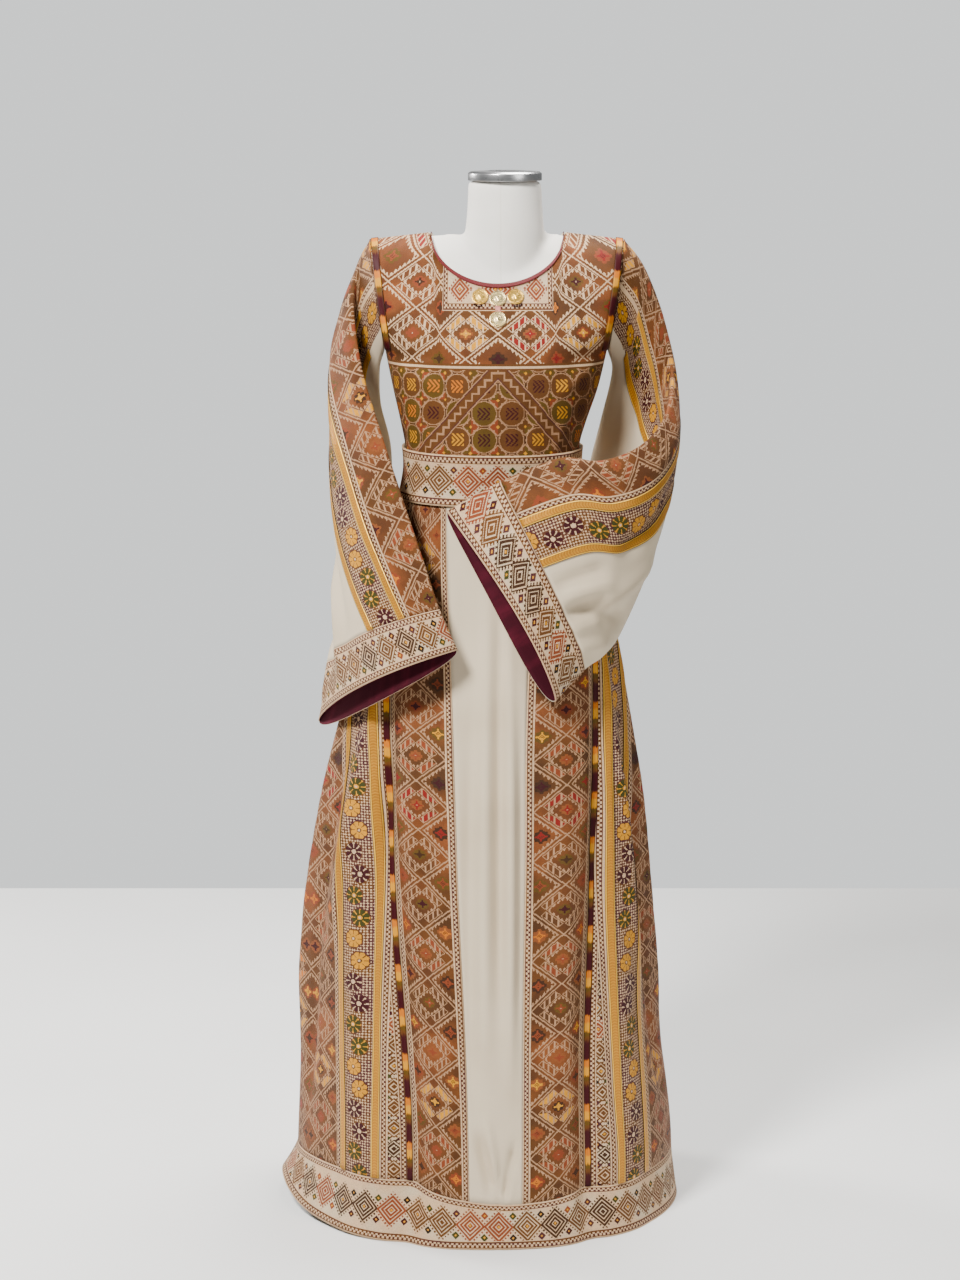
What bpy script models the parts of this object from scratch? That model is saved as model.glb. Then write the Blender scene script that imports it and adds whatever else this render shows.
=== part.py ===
# Long embroidered thobe worn by a limbless dress form
# Metres, Z up, front towards -Y; left and right are the viewer's
# The origin is on the floor, at the centre of the form's base plate

import bisect
import math

import bmesh
import bpy
from mathutils import Matrix, Vector

# Walls and gaps
CLOTH = 0.0015
BAND_CLOTH = 0.0020
SEAM_GAP = 0.0003
TRIM_CLOTH = 0.0013
ARMHOLE_GAP = 0.0010

# Heights
NECK_POINT_Z = 1.420
SHOULDER_TIP_Z = 1.410
UNDERARM_Z = 1.255
WAIST_Z = 1.080
HIP_Z = 0.850
BELT_TOP_Z = 1.117
BELT_LOW_Z = 1.045
BAND_TOP_Z = 0.075

# Neckline
NECK_HALF_SHARE = 0.52
NECK_HALF_WIDTH = 0.093
FRONT_SCOOP = 0.069
BACK_SCOOP = 0.025
SHOULDER_HALF_WIDTH = 0.179

# Armhole
ARMHOLE_HALF_DEPTH = 0.040
BODICE_ROUND = 0.87

# Trim widths
SEAM_SILK = 0.008
RIBBON = 0.012
RIBBON_SPACING = 0.058

# Belt
BELT_CLEAR = 0.0022
BELT_CLOTH = 0.0026
BELT_DIP = 0.003
BELT_CELLS = 60

# Coins at the neckline
COIN_RADIUS = 0.0115
COIN_THICK = 0.0016
COIN_PITCH = 0.0245
COIN_ROW_SHARE = 0.928
COIN_DROP_SHARE = 0.826
COIN_CLEAR = 0.0006
COIN_SIDES = 20

# Dress form
FORM_CENTRE_X = -0.004
FORM_SIDES = 24
NECK_X = 0.010
NECK_Y = -0.008
NECK_TOP_Z = 1.492
POLE_RADIUS = 0.016
POLE_SIDES = 16
BASE_RADIUS = 0.150
BASE_THICK = 0.014
BASE_BEVEL = 0.005
BASE_SIDES = 40

# Half sizes of the body of the dress by height, below the underarm
BODY_COLUMNS = ("z", "left", "right", "front", "back")
BODY = (
    (0.000, 0.300, 0.262, 0.236, 0.246),
    (0.120, 0.295, 0.258, 0.229, 0.238),
    (0.292, 0.288, 0.236, 0.211, 0.220),
    (0.450, 0.277, 0.221, 0.192, 0.200),
    (0.600, 0.253, 0.207, 0.173, 0.180),
    (0.711, 0.228, 0.191, 0.158, 0.164),
    (0.800, 0.206, 0.178, 0.146, 0.150),
    (0.900, 0.180, 0.160, 0.131, 0.134),
    (1.000, 0.150, 0.136, 0.112, 0.108),
    (1.080, 0.131, 0.116, 0.095, 0.086),
    (1.117, 0.132, 0.117, 0.098, 0.087),
    (1.150, 0.138, 0.126, 0.102, 0.090),
    (1.200, 0.149, 0.143, 0.112, 0.096),
    (1.255, 0.160, 0.156, 0.115, 0.098),
)

# Depth of the bodice by how far a point lies below the shoulder line
DROP_COLUMNS = ("drop", "front", "back")
DROP = (
    (0.000, 0.000, 0.000),
    (0.008, 0.016, 0.028),
    (0.020, 0.035, 0.050),
    (0.040, 0.052, 0.066),
    (0.060, 0.064, 0.075),
    (0.110, 0.092, 0.090),
    (0.160, 0.113, 0.098),
    (0.215, 0.112, 0.096),
    (0.270, 0.102, 0.090),
    (0.340, 0.095, 0.086),
)

# Half width across both armholes, from the shoulder tip down to the underarm
ARMHOLE_COLUMNS = ("share", "left", "right")
ARMHOLE = (
    (0.0, 0.180, 0.178),
    (0.5, 0.171, 0.169),
    (1.0, 0.160, 0.156),
)

# Borders of the skirt panels by height: degrees from the front centre, and the
# distance from the side seam of the front panel to the first gold ribbon
BORDER_COLUMNS = ("z", "centre", "seam", "ribbon", "back")
BORDERS = {
    "left": (
        (0.00, 7.4, 25.0, 0.050, 94.0),
        (0.22, 8.5, 27.0, 0.044, 94.0),
        (0.50, 11.8, 35.0, 0.020, 97.0),
        (0.78, 17.5, 49.0, 0.019, 106.0),
        (1.08, 30.0, 62.0, 0.018, 128.0),
    ),
    "right": (
        (0.00, 7.4, 30.0, 0.050, 96.0),
        (0.22, 8.2, 32.0, 0.048, 97.0),
        (0.50, 10.2, 40.0, 0.027, 102.0),
        (0.78, 13.2, 51.0, 0.019, 108.0),
        (1.08, 24.0, 62.0, 0.018, 130.0),
    ),
}

# Hem band by angle: its upper edge, its lower edge and how far it flares
HEM_COLUMNS = ("angle", "top", "low", "flare")
HEM = (
    (-180.0, 0.075, 0.000, 0.014),
    (-120.0, 0.078, 0.010, 0.018),
    (-88.0, 0.079, 0.034, 0.024),
    (-60.0, 0.086, 0.010, 0.021),
    (-30.0, 0.086, 0.000, 0.018),
    (0.0, 0.062, 0.000, 0.015),
    (30.0, 0.072, 0.000, 0.013),
    (90.0, 0.075, 0.000, 0.009),
    (180.0, 0.075, 0.000, 0.014),
)

# Largest folds of the skirt: where each lies, its rise (a groove is minus),
# its spread and the height at which it starts
FOLD_COLUMNS = ("follows", "angle", "rise", "spread", "start")
FOLDS = (
    ("left seam", 0.0, -0.017, 4.6, 1.02),
    ("left seam", -15.0, 0.009, 8.0, 0.80),
    ("left seam", 12.0, 0.004, 6.0, 0.90),
    ("right seam", 0.0, -0.015, 4.6, 1.02),
    ("right seam", 15.0, 0.007, 8.0, 0.80),
    ("right seam", -13.0, 0.004, 6.0, 0.90),
    ("body", 103.0, -0.010, 8.0, 0.95),
    ("body", 121.0, 0.012, 9.0, 0.98),
    ("body", 139.0, -0.013, 8.0, 1.00),
    ("body", 157.0, 0.012, 8.0, 0.94),
    ("body", 176.0, -0.014, 9.0, 1.02),
    ("body", -165.0, 0.011, 8.0, 0.92),
    ("body", -147.0, -0.013, 9.0, 1.00),
    ("body", -126.0, 0.013, 9.0, 0.96),
    ("body", -106.0, -0.009, 8.0, 0.94),
)

FOLD_GROWTH = 0.45

# Sleeve sections from the armhole to the mouth: the fold over the arm, the
# middle of the flat tube, the fold under the arm, half its fullness, the share of
# that on the face next to the body, and how far this face runs past the other
SLEEVES = {
    "left": (
        {"over": (-0.1800, 0.000, 1.410), "middle": (-0.171, 0.000, 1.3325),
         "under": (-0.160, 0.000, 1.255), "puff": 0.040, "tuck": 1.0, "lag": 0.0},
        {"over": (-0.198, -0.004, 1.375), "middle": (-0.190, 0.008, 1.298),
         "under": (-0.169, 0.020, 1.222), "puff": 0.031, "tuck": 0.5, "lag": 0.0},
        {"over": (-0.204, -0.020, 1.318), "middle": (-0.207, 0.018, 1.245),
         "under": (-0.168, 0.050, 1.172), "puff": 0.023, "tuck": 0.35, "lag": 0.0},
        {"over": (-0.191, -0.054, 1.232), "middle": (-0.218, 0.008, 1.168),
         "under": (-0.154, 0.074, 1.102), "puff": 0.020, "tuck": 0.55, "lag": 0.0},
        {"over": (-0.163, -0.090, 1.145), "middle": (-0.221, -0.018, 1.080),
         "under": (-0.158, 0.087, 1.012), "puff": 0.018, "tuck": 0.9, "lag": 0.0},
        {"over": (-0.131, -0.122, 1.052), "middle": (-0.214, -0.052, 0.985),
         "under": (-0.184, 0.088, 0.922), "puff": 0.017, "tuck": 1.0, "lag": 0.0},
        {"over": (-0.103, -0.147, 0.972), "middle": (-0.200, -0.086, 0.915),
         "under": (-0.217, 0.068, 0.846), "puff": 0.016, "tuck": 1.0, "lag": 0.0},
        {"over": (-0.081, -0.164, 0.908), "middle": (-0.186, -0.112, 0.860),
         "under": (-0.242, 0.046, 0.778), "puff": 0.014, "tuck": 1.0, "lag": 0.004},
        {"over": (-0.056, -0.174, 0.852), "middle": (-0.173, -0.143, 0.798),
         "under": (-0.260, 0.024, 0.708), "puff": 0.014, "tuck": 0.9, "lag": 0.022},
    ),
    "right": (
        {"over": (0.178, 0.000, 1.410), "middle": (0.169, 0.000, 1.3325),
         "under": (0.156, 0.000, 1.255), "puff": 0.040, "tuck": 1.0, "lag": 0.0},
        {"over": (0.207, -0.002, 1.372), "middle": (0.192, 0.008, 1.295),
         "under": (0.164, 0.020, 1.218), "puff": 0.028, "tuck": 1.0, "lag": 0.0},
        {"over": (0.231, -0.006, 1.310), "middle": (0.208, 0.018, 1.225),
         "under": (0.149, 0.048, 1.148), "puff": 0.020, "tuck": 1.0, "lag": 0.0},
        {"over": (0.246, -0.012, 1.240), "middle": (0.220, 0.022, 1.145),
         "under": (0.132, 0.076, 1.060), "puff": 0.016, "tuck": 1.0, "lag": 0.0},
        {"over": (0.244, -0.045, 1.192), "middle": (0.230, 0.002, 1.085),
         "under": (0.140, 0.080, 0.985), "puff": 0.014, "tuck": 1.0, "lag": 0.0},
        {"over": (0.226, -0.092, 1.155), "middle": (0.229, -0.048, 1.035),
         "under": (0.166, 0.046, 0.925), "puff": 0.013, "tuck": 1.0, "lag": 0.0},
        {"over": (0.190, -0.130, 1.128), "middle": (0.208, -0.100, 1.000),
         "under": (0.178, -0.030, 0.882), "puff": 0.013, "tuck": 1.0, "lag": 0.0},
        {"over": (0.140, -0.150, 1.114), "middle": (0.168, -0.138, 0.980),
         "under": (0.168, -0.086, 0.852), "puff": 0.014, "tuck": 1.0, "lag": 0.0},
        {"over": (0.085, -0.153, 1.118), "middle": (0.125, -0.160, 0.972),
         "under": (0.146, -0.122, 0.832), "puff": 0.015, "tuck": 1.0, "lag": 0.0},
        {"over": (0.004, -0.142, 1.084), "middle": (0.068, -0.170, 0.953),
         "under": (0.121, -0.144, 0.818), "puff": 0.016, "tuck": 1.0, "lag": 0.004},
        {"over": (-0.071, -0.124, 1.040), "middle": (0.017, -0.176, 0.916),
         "under": (0.080, -0.160, 0.776), "puff": 0.019, "tuck": 1.0, "lag": 0.022},
    ),
}

# Distance of the two gold ribbons from the fold over the arm
SLEEVE_RIBBONS = ((0.059, 0.072), (0.118, 0.131))

# Dress form by how far a ring lies below the shoulder line
FORM_COLUMNS = ("drop", "half", "front", "back")
FORM = (
    (0.0024, 0.124, 0.000, 0.000),
    (0.012, 0.140, 0.015, 0.022),
    (0.026, 0.150, 0.031, 0.042),
    (0.060, 0.157, 0.055, 0.063),
    (0.110, 0.157, 0.082, 0.080),
    (0.160, 0.148, 0.102, 0.088),
    (0.215, 0.133, 0.100, 0.086),
    (0.270, 0.115, 0.088, 0.078),
    (0.340, 0.105, 0.081, 0.072),
    (0.420, 0.117, 0.090, 0.084),
    (0.520, 0.129, 0.096, 0.100),
    (0.600, 0.128, 0.094, 0.098),
    (0.625, 0.116, 0.084, 0.088),
)

# Neck of the form by height, starting inside the torso
NECK_COLUMNS = ("z", "half_x", "half_y")
NECK = (
    (1.250, 0.050, 0.040),
    (1.380, 0.056, 0.044),
    (1.420, 0.056, 0.045),
    (1.460, 0.053, 0.046),
    (1.492, 0.052, 0.046),
)

# Cap on the neck: rise above the neck and radius
CAP = ((0.0, 0.050), (0.003, 0.053), (0.010, 0.050), (0.014, 0.040))

# Cells along the grids
SKIRT_ROWS = 12
BELOW_BELT_LEVEL = 0.952
BACK_CELLS = 9
BODICE_SHARES = (0.0, 0.15, 0.30, 0.42, 0.49, 0.52, 0.68, 0.82, 0.93, 0.985, 1.0)
FRONT_LEVELS = (0.0, 0.13, 0.26, 0.40, 0.53, 0.62, 0.71, 0.80, 0.88, 0.94, 0.98, 1.0)
BACK_LEVELS = (0.0, 0.13, 0.30, 0.53, 0.68, 0.80, 0.88, 0.94, 0.98, 1.0)
UNDERARM_LEVEL = 0.53
BINDING_LEVEL = 0.98
PANEL_SHARES = (0.0, 0.18, 0.40, 0.62, 0.80, 0.92, 1.0)
CENTRE_SHARES = (0.0, 0.2, 0.4, 0.6, 0.8, 1.0)
SLEEVE_STEP = 0.5
SLEEVE_TURN = 2.8
HEM_LEVELS = (0.0, 0.45, 1.0)
SEAM_ANGLE = 0.3

# Colours: red, green, blue, roughness, metallic
COLOURS = {
    "cream cloth": (0.80, 0.74, 0.63, 0.85, 0.0),
    "embroidery": (0.36, 0.16, 0.09, 0.88, 0.0),
    "band embroidery": (0.44, 0.26, 0.17, 0.88, 0.0),
    "striped silk": (0.55, 0.22, 0.07, 0.45, 0.0),
    "gold ribbon": (0.66, 0.48, 0.20, 0.50, 0.3),
    "burgundy lining": (0.20, 0.02, 0.05, 0.80, 0.0),
    "red binding": (0.28, 0.03, 0.04, 0.75, 0.0),
    "gold coin": (0.83, 0.62, 0.26, 0.30, 1.0),
    "form cover": (0.86, 0.84, 0.80, 0.70, 0.0),
    "form metal": (0.55, 0.55, 0.56, 0.35, 1.0),
}


def clear_scene():
    for item in list(bpy.data.objects):
        bpy.data.objects.remove(item, do_unlink=True)


# Numbers along a table
def smooth_value(stations, values, at):
    at = min(max(at, stations[0]), stations[-1])
    i = min(max(bisect.bisect_right(stations, at) - 1, 0), len(stations) - 2)
    span = stations[i + 1] - stations[i]
    u = (at - stations[i]) / span
    slopes = []
    for k in (i, i + 1):
        low = max(k - 1, 0)
        high = min(k + 1, len(stations) - 1)
        slopes.append((values[high] - values[low]) / (stations[high] - stations[low]))
    a = values[i]
    b = values[i + 1]
    return (a * (1 + 2 * u) * (1 - u) ** 2 + slopes[0] * span * u * (1 - u) ** 2
            + b * u * u * (3 - 2 * u) + slopes[1] * span * u * u * (u - 1))


def read_table(columns, rows, name, at):
    place = columns.index(name)
    return smooth_value([row[0] for row in rows], [row[place] for row in rows], at)


def ease(value):
    value = min(max(value, 0.0), 1.0)
    return value * value * (3 - 2 * value)


def rounded(value, power):
    return math.copysign(abs(value) ** power, value)


def side_of(angle):
    return "left" if angle < 0 else "right"


# Body of the dress
def half_size(name, z):
    return read_table(BODY_COLUMNS, BODY, name, z)


def roundness(z):
    return 1.0 + (BODICE_ROUND - 1.0) * ease((z - HIP_Z) / (WAIST_Z - HIP_Z))


def border(side, name, z):
    return read_table(BORDER_COLUMNS, BORDERS[side], name, z)


def fold_push(angle, z):
    push = 0.0
    for row in FOLDS:
        fold = dict(zip(FOLD_COLUMNS, row))
        centre = fold["angle"]
        if fold["follows"] == "left seam":
            centre -= border("left", "seam", z)
        if fold["follows"] == "right seam":
            centre += border("right", "seam", z)
        away = (angle - centre + 180.0) % 360.0 - 180.0
        grown = ease((fold["start"] - z) / FOLD_GROWTH)
        push += fold["rise"] * math.exp(-(away / fold["spread"]) ** 2) * grown
    return push


def ring_point(angle, z, inset, push=0.0):
    turn = math.radians(angle)
    power = roundness(z)
    half = half_size(side_of(angle), z) - inset
    depth = half_size("front" if abs(angle) < 90 else "back", z) - inset
    x = half * rounded(math.sin(turn), power) + push * math.sin(turn)
    y = -depth * rounded(math.cos(turn), power) - push * math.cos(turn)
    return Vector((x, y, z))


def arc_per_degree(angle, z):
    step = ring_point(angle + 0.5, z, 0.0) - ring_point(angle - 0.5, z, 0.0)
    return step.length


def angle_after(angle, z, distance):
    for _ in range(6):
        angle += distance / 6 / arc_per_degree(angle, z)
    return angle


def nominal_height(level):
    return BAND_TOP_Z + level * (WAIST_Z - BAND_TOP_Z)


def skirt_point(angle, level, inset):
    low = read_table(HEM_COLUMNS, HEM, "top", angle)
    z = low + SEAM_GAP / 2 + level * (WAIST_Z - low - SEAM_GAP)
    return ring_point(angle, z, inset, fold_push(angle, nominal_height(level)))


def band_point(angle, level, inset):
    top = read_table(HEM_COLUMNS, HEM, "top", angle) - SEAM_GAP / 2
    low = read_table(HEM_COLUMNS, HEM, "low", angle)
    flare = read_table(HEM_COLUMNS, HEM, "flare", angle) * (1 - level) ** 1.3
    push = fold_push(angle, BAND_TOP_Z) * (0.45 + 0.55 * level)
    point = ring_point(angle, top, inset, push + flare)
    point.z = low + level * (top - low)
    return point


def seam_shift(angle, z):
    return SEAM_GAP / 2 / arc_per_degree(angle, z)


# Bodice
def armhole_half(side, z):
    share = (SHOULDER_TIP_Z - z) / (SHOULDER_TIP_Z - UNDERARM_Z)
    return read_table(ARMHOLE_COLUMNS, ARMHOLE, side, share)


def bodice_half(side, z):
    return armhole_half(side, z) if z > UNDERARM_Z else half_size(side, z)


def shoulder_height(x):
    share = (abs(x) - NECK_HALF_WIDTH) / (SHOULDER_HALF_WIDTH - NECK_HALF_WIDTH)
    return NECK_POINT_Z - min(max(share, 0.0), 1.0) * (NECK_POINT_Z - SHOULDER_TIP_Z)


def bodice_top(share, scoop):
    if abs(share) >= NECK_HALF_SHARE:
        return shoulder_height(share * SHOULDER_HALF_WIDTH)
    along = abs(share) / NECK_HALF_SHARE
    return NECK_POINT_Z - scoop * math.sqrt(max(1 - along * along, 0.0))


def armhole_bend(z):
    share = (SHOULDER_TIP_Z - z) / (SHOULDER_TIP_Z - UNDERARM_Z)
    return ARMHOLE_HALF_DEPTH * 2 * math.sqrt(max(share * (1 - share), 0.0))


def bodice_point(face, share, level, inset):
    scoop = FRONT_SCOOP if face == "front" else BACK_SCOOP
    low = WAIST_Z + SEAM_GAP / 2
    z = low + level * (bodice_top(share, scoop) - max(inset, -TRIM_CLOTH) - low)
    side = side_of(share)
    x = share * (bodice_half(side, z) - inset)
    drop = shoulder_height(x) - inset - z
    depth = max(read_table(DROP_COLUMNS, DROP, face, drop) - inset * ease(drop / 0.01), 0.0)
    bend = max(armhole_bend(z + inset * level) - inset, 0.0) if z > UNDERARM_Z else 0.0
    bend = min(bend, depth)
    power = 1 / BODICE_ROUND * 2
    round_share = (1 - abs(share) ** power) ** (1 / power)
    y = SEAM_GAP / 2 + bend + (depth - bend) * round_share
    return Vector((x, -y if face == "front" else y, z))


# Sleeves
def sleeve_section(side, station, name):
    rows = SLEEVES[side]
    stations = list(range(len(rows)))
    if name in ("puff", "tuck", "lag"):
        return smooth_value(stations, [row[name] for row in rows], station)
    parts = [smooth_value(stations, [row[name][k] for row in rows], station) for k in range(3)]
    return Vector(parts)


def across_sleeve(side, station, share):
    over = sleeve_section(side, station, "over")
    middle = sleeve_section(side, station, "middle")
    under = sleeve_section(side, station, "under")
    point = (over * (1 - share) * (1 - 2 * share) + middle * 4 * share * (1 - share)
             + under * share * (2 * share - 1))
    slope = over * (4 * share - 3) + middle * (4 - 8 * share) + under * (4 * share - 1)
    return point, slope.normalized()


def sleeve_width(side, station):
    middle = sleeve_section(side, station, "middle")
    over = sleeve_section(side, station, "over")
    under = sleeve_section(side, station, "under")
    return (over - middle).length + (middle - under).length


def sleeve_point(side, station, face, share, inset):
    # Face 1 is the front face at the right armhole and the back face at the left one
    point, across = across_sleeve(side, station, share)
    ahead = min(station + 0.05, len(SLEEVES[side]) - 1)
    behind = max(ahead - 0.10, 0.0)
    along = (across_sleeve(side, ahead, share)[0]
             - across_sleeve(side, behind, share)[0]).normalized()
    armhole_outward = Vector((0.0, 1.0 if side == "left" else -1.0, 0.0))
    hang = ease(station / SLEEVE_TURN)
    outward = armhole_outward.lerp(across.cross(along).normalized(), hang).normalized()
    puff = sleeve_section(side, station, "puff")
    bulge = 2 * math.sqrt(max(share * (1 - share), 0.0))
    if face == (-1 if side == "left" else 1):
        puff *= sleeve_section(side, station, "tuck")
        point += along * sleeve_section(side, station, "lag") * bulge
    point += outward * face * (puff - inset) * bulge
    point += across * inset * (1 - 2 * share)
    if station == 0:
        point.x += math.copysign(ARMHOLE_GAP, point.x)
    return point


def sleeve_shares(side, station):
    width = sleeve_width(side, station)
    marks = [0.0, 0.016]
    for first, last in SLEEVE_RIBBONS:
        marks += [first, last]
    marks += [(marks[-1] + width - 0.010) / 2, width - 0.010, width]
    return [mark / width for mark in marks]


def sleeve_ring(side, station, inset):
    shares = sleeve_shares(side, station)
    ring = [sleeve_point(side, station, 1, share, inset) for share in shares]
    ring += [sleeve_point(side, station, -1, share, inset) for share in reversed(shares[1:-1])]
    return ring


# Meshes
def material(name):
    made = bpy.data.materials.get(name)
    if made:
        return made
    made = bpy.data.materials.new(name)
    made.use_nodes = True
    shader = made.node_tree.nodes["Principled BSDF"]
    red, green, blue, rough, metal = COLOURS[name]
    shader.inputs["Base Color"].default_value = (red, green, blue, 1)
    shader.inputs["Roughness"].default_value = rough
    shader.inputs["Metallic"].default_value = metal
    return made


def signed_volume(points, faces):
    total = 0.0
    for face in faces:
        for k in range(1, len(face) - 1):
            total += points[face[0]].dot(points[face[k]].cross(points[face[k + 1]]))
    return total


def add_solid(name, points, faces, finish, angle=40):
    if signed_volume(points, faces) < 0:
        faces = [tuple(reversed(face)) for face in faces]
    mesh = bpy.data.meshes.new(name)
    mesh.from_pydata([tuple(point) for point in points], [], faces)
    mesh.materials.append(material(finish))
    mesh.shade_smooth()
    mesh.set_sharp_from_angle(angle=math.radians(angle))
    item = bpy.data.objects.new(name, mesh)
    bpy.context.scene.collection.objects.link(item)
    return item


def cell_faces(a, b, c, d):
    return [(a, b, c), (a, c, d)]


def add_wall(name, outer, inner, finish, ring=False):
    # A closed wall between two grids of points, rows of equal length
    rows = len(outer)
    cells = len(outer[0])
    points = [point for row in outer for point in row]
    shift = len(points)
    points += [point for row in inner for point in row]
    faces = []
    last = cells if ring else cells - 1
    for i in range(rows - 1):
        for j in range(last):
            k = (j + 1) % cells
            a, b = i * cells + j, i * cells + k
            c, d = (i + 1) * cells + k, (i + 1) * cells + j
            faces += cell_faces(a, b, c, d)
            faces += [tuple(reversed(face)) for face in cell_faces(
                a + shift, b + shift, c + shift, d + shift)]
    for i, order in ((0, 1), (rows - 1, -1)):
        for j in range(last):
            k = (j + 1) % cells
            a, b = i * cells + j, i * cells + k
            strip = cell_faces(a, a + shift, b + shift, b)
            faces += [face[::order] for face in strip]
    if not ring:
        for j, order in ((0, 1), (cells - 1, -1)):
            for i in range(rows - 1):
                a, b = i * cells + j, (i + 1) * cells + j
                strip = cell_faces(b, b + shift, a + shift, a)
                faces += [face[::order] for face in strip]
    return add_solid(name, points, faces, finish)


def add_layer(name, grid, inset, thick, finish, ring=False):
    # The grid gives a row of points for an inset; the wall goes inwards from it
    return add_wall(name, grid(inset), grid(inset + thick), finish, ring)


# Skirt
def panel_angles(side, kind, z):
    sign = -1 if side == "left" else 1
    centre = sign * border(side, "centre", z)
    seam = sign * border(side, "seam", z)
    back = sign * border(side, "back", z)
    if kind == "front":
        first = centre + sign * seam_shift(centre, z)
        last = seam - sign * seam_shift(seam, z)
        return [first + (last - first) * share for share in PANEL_SHARES]
    if kind == "gore":
        first = seam + sign * seam_shift(seam, z)
        last = back - sign * seam_shift(back, z)
        ribbon = border(side, "ribbon", z)
        marks = [SEAM_SILK, ribbon - RIBBON / 2, ribbon + RIBBON / 2]
        marks += [ribbon + RIBBON_SPACING / 2]
        marks += [ribbon + RIBBON_SPACING - RIBBON / 2, ribbon + RIBBON_SPACING + RIBBON / 2]
        angles = [first] + [angle_after(first, z, sign * mark) for mark in marks]
        return angles + [(angles[-1] + last) / 2, last]
    first = back + sign * seam_shift(back, z)
    last = sign * (180.0 - seam_shift(179.0, z))
    return [first + (last - first) * k / BACK_CELLS for k in range(BACK_CELLS + 1)]


def skirt_levels():
    return [k / SKIRT_ROWS for k in range(SKIRT_ROWS)] + [BELOW_BELT_LEVEL, 1.0]


def skirt_grid(side, kind, first=0, last=None):
    levels = skirt_levels() if last is None else skirt_levels()[:-1]

    def rows(inset):
        grid = []
        for level in levels:
            angles = panel_angles(side, kind, nominal_height(level))[first:last]
            grid.append([skirt_point(angle, level, inset) for angle in angles])
        return grid
    return rows


def centre_angles(z):
    first = -border("left", "centre", z)
    last = border("right", "centre", z)
    first += seam_shift(first, z)
    last -= seam_shift(last, z)
    return [first + (last - first) * share for share in CENTRE_SHARES]


def centre_grid(inset):
    return [[skirt_point(angle, level, inset) for angle in centre_angles(nominal_height(level))]
            for level in skirt_levels()]


def make_skirt():
    add_layer("skirt_centre", centre_grid, 0.0, CLOTH, "cream cloth")
    for side in ("left", "right"):
        add_layer("skirt_front_" + side, skirt_grid(side, "front"), 0.0, CLOTH, "embroidery")
        add_layer("skirt_gore_" + side, skirt_grid(side, "gore"), 0.0, CLOTH, "embroidery")
        add_layer("skirt_back_" + side, skirt_grid(side, "back"), 0.0, CLOTH, "cream cloth")
        raised = -SEAM_GAP - TRIM_CLOTH
        add_layer("seam_silk_" + side, skirt_grid(side, "gore", 0, 2), raised, TRIM_CLOTH,
                  "striped silk")
        for name, first in (("inner", 2), ("outer", 5)):
            add_layer("skirt_ribbon_" + name + "_" + side,
                      skirt_grid(side, "gore", first, first + 2), raised, TRIM_CLOTH,
                      "gold ribbon")


def joined_angles(angles):
    # One column where two panels meet
    joined = [angles[0]]
    for angle in angles[1:]:
        if angle - joined[-1] > SEAM_ANGLE:
            joined.append(angle)
        else:
            joined[-1] = (joined[-1] + angle) / 2
    return joined


def hem_angles(face):
    angles = []
    if face == "front":
        angles += centre_angles(BAND_TOP_Z)
        for side in ("left", "right"):
            angles += panel_angles(side, "front", BAND_TOP_Z)
            angles += panel_angles(side, "gore", BAND_TOP_Z)
    else:
        angles += panel_angles("right", "back", BAND_TOP_Z)
        angles += [angle + 360.0 for angle in panel_angles("left", "back", BAND_TOP_Z)]
    return [(angle + 180.0) % 360.0 - 180.0 for angle in joined_angles(sorted(angles))]


def hem_grid(face):
    def rows(inset):
        return [[band_point(angle, level, inset) for angle in hem_angles(face)]
                for level in HEM_LEVELS]
    return rows


def make_hem_bands():
    for face in ("front", "back"):
        add_layer("hem_band_" + face, hem_grid(face), 0.0, BAND_CLOTH, "band embroidery")


# Bodice and belt
def bodice_shares():
    return [-share for share in reversed(BODICE_SHARES[1:])] + list(BODICE_SHARES)


def bodice_grid(face, shares, levels):
    def rows(inset):
        return [[bodice_point(face, share, level, inset) for share in shares]
                for level in levels]
    return rows


def make_bodice():
    raised = -SEAM_GAP - TRIM_CLOTH
    for face, levels, finish in (("front", FRONT_LEVELS, "embroidery"),
                                 ("back", BACK_LEVELS, "cream cloth")):
        add_layer("bodice_" + face, bodice_grid(face, bodice_shares(), levels), 0.0, CLOTH,
                  finish)
        neck = [share for share in bodice_shares() if abs(share) <= NECK_HALF_SHARE]
        add_layer("neck_binding_" + face, bodice_grid(face, neck, (BINDING_LEVEL, 1.0)),
                  raised, TRIM_CLOTH, "red binding")
        upper = [level for level in levels if level >= UNDERARM_LEVEL]
        for side, sign in (("left", -1), ("right", 1)):
            edge = [sign * BODICE_SHARES[-3], sign * BODICE_SHARES[-2]]
            add_layer("armhole_silk_" + face + "_" + side, bodice_grid(face, edge, upper),
                      raised, TRIM_CLOTH, "striped silk")


def belt_grid(inset):
    angles = [-180.0 + 360.0 * k / BELT_CELLS for k in range(BELT_CELLS)]
    grid = []
    for z in (BELT_LOW_Z, BELT_TOP_Z):
        row = [ring_point(angle, z, inset) for angle in angles]
        for point, angle in zip(row, angles):
            point.z -= BELT_DIP * math.cos(math.radians(angle))
        grid.append(row)
    return grid


def make_belt():
    add_layer("belt", belt_grid, -BELT_CLEAR - BELT_CLOTH, BELT_CLOTH, "band embroidery",
              ring=True)


# Sleeves, cuffs and their trim
def stations_between(first, last, step):
    count = max(round((last - first) / step), 1)
    return [first + (last - first) * k / count for k in range(count + 1)]


def ribbon_grid(side, face, place, stations):
    def rows(inset):
        grid = []
        for station in stations:
            shares = sleeve_shares(side, station)[place:place + 2][::face]
            grid.append([sleeve_point(side, station, face, share, inset) for share in shares])
        return grid
    return rows


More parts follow.
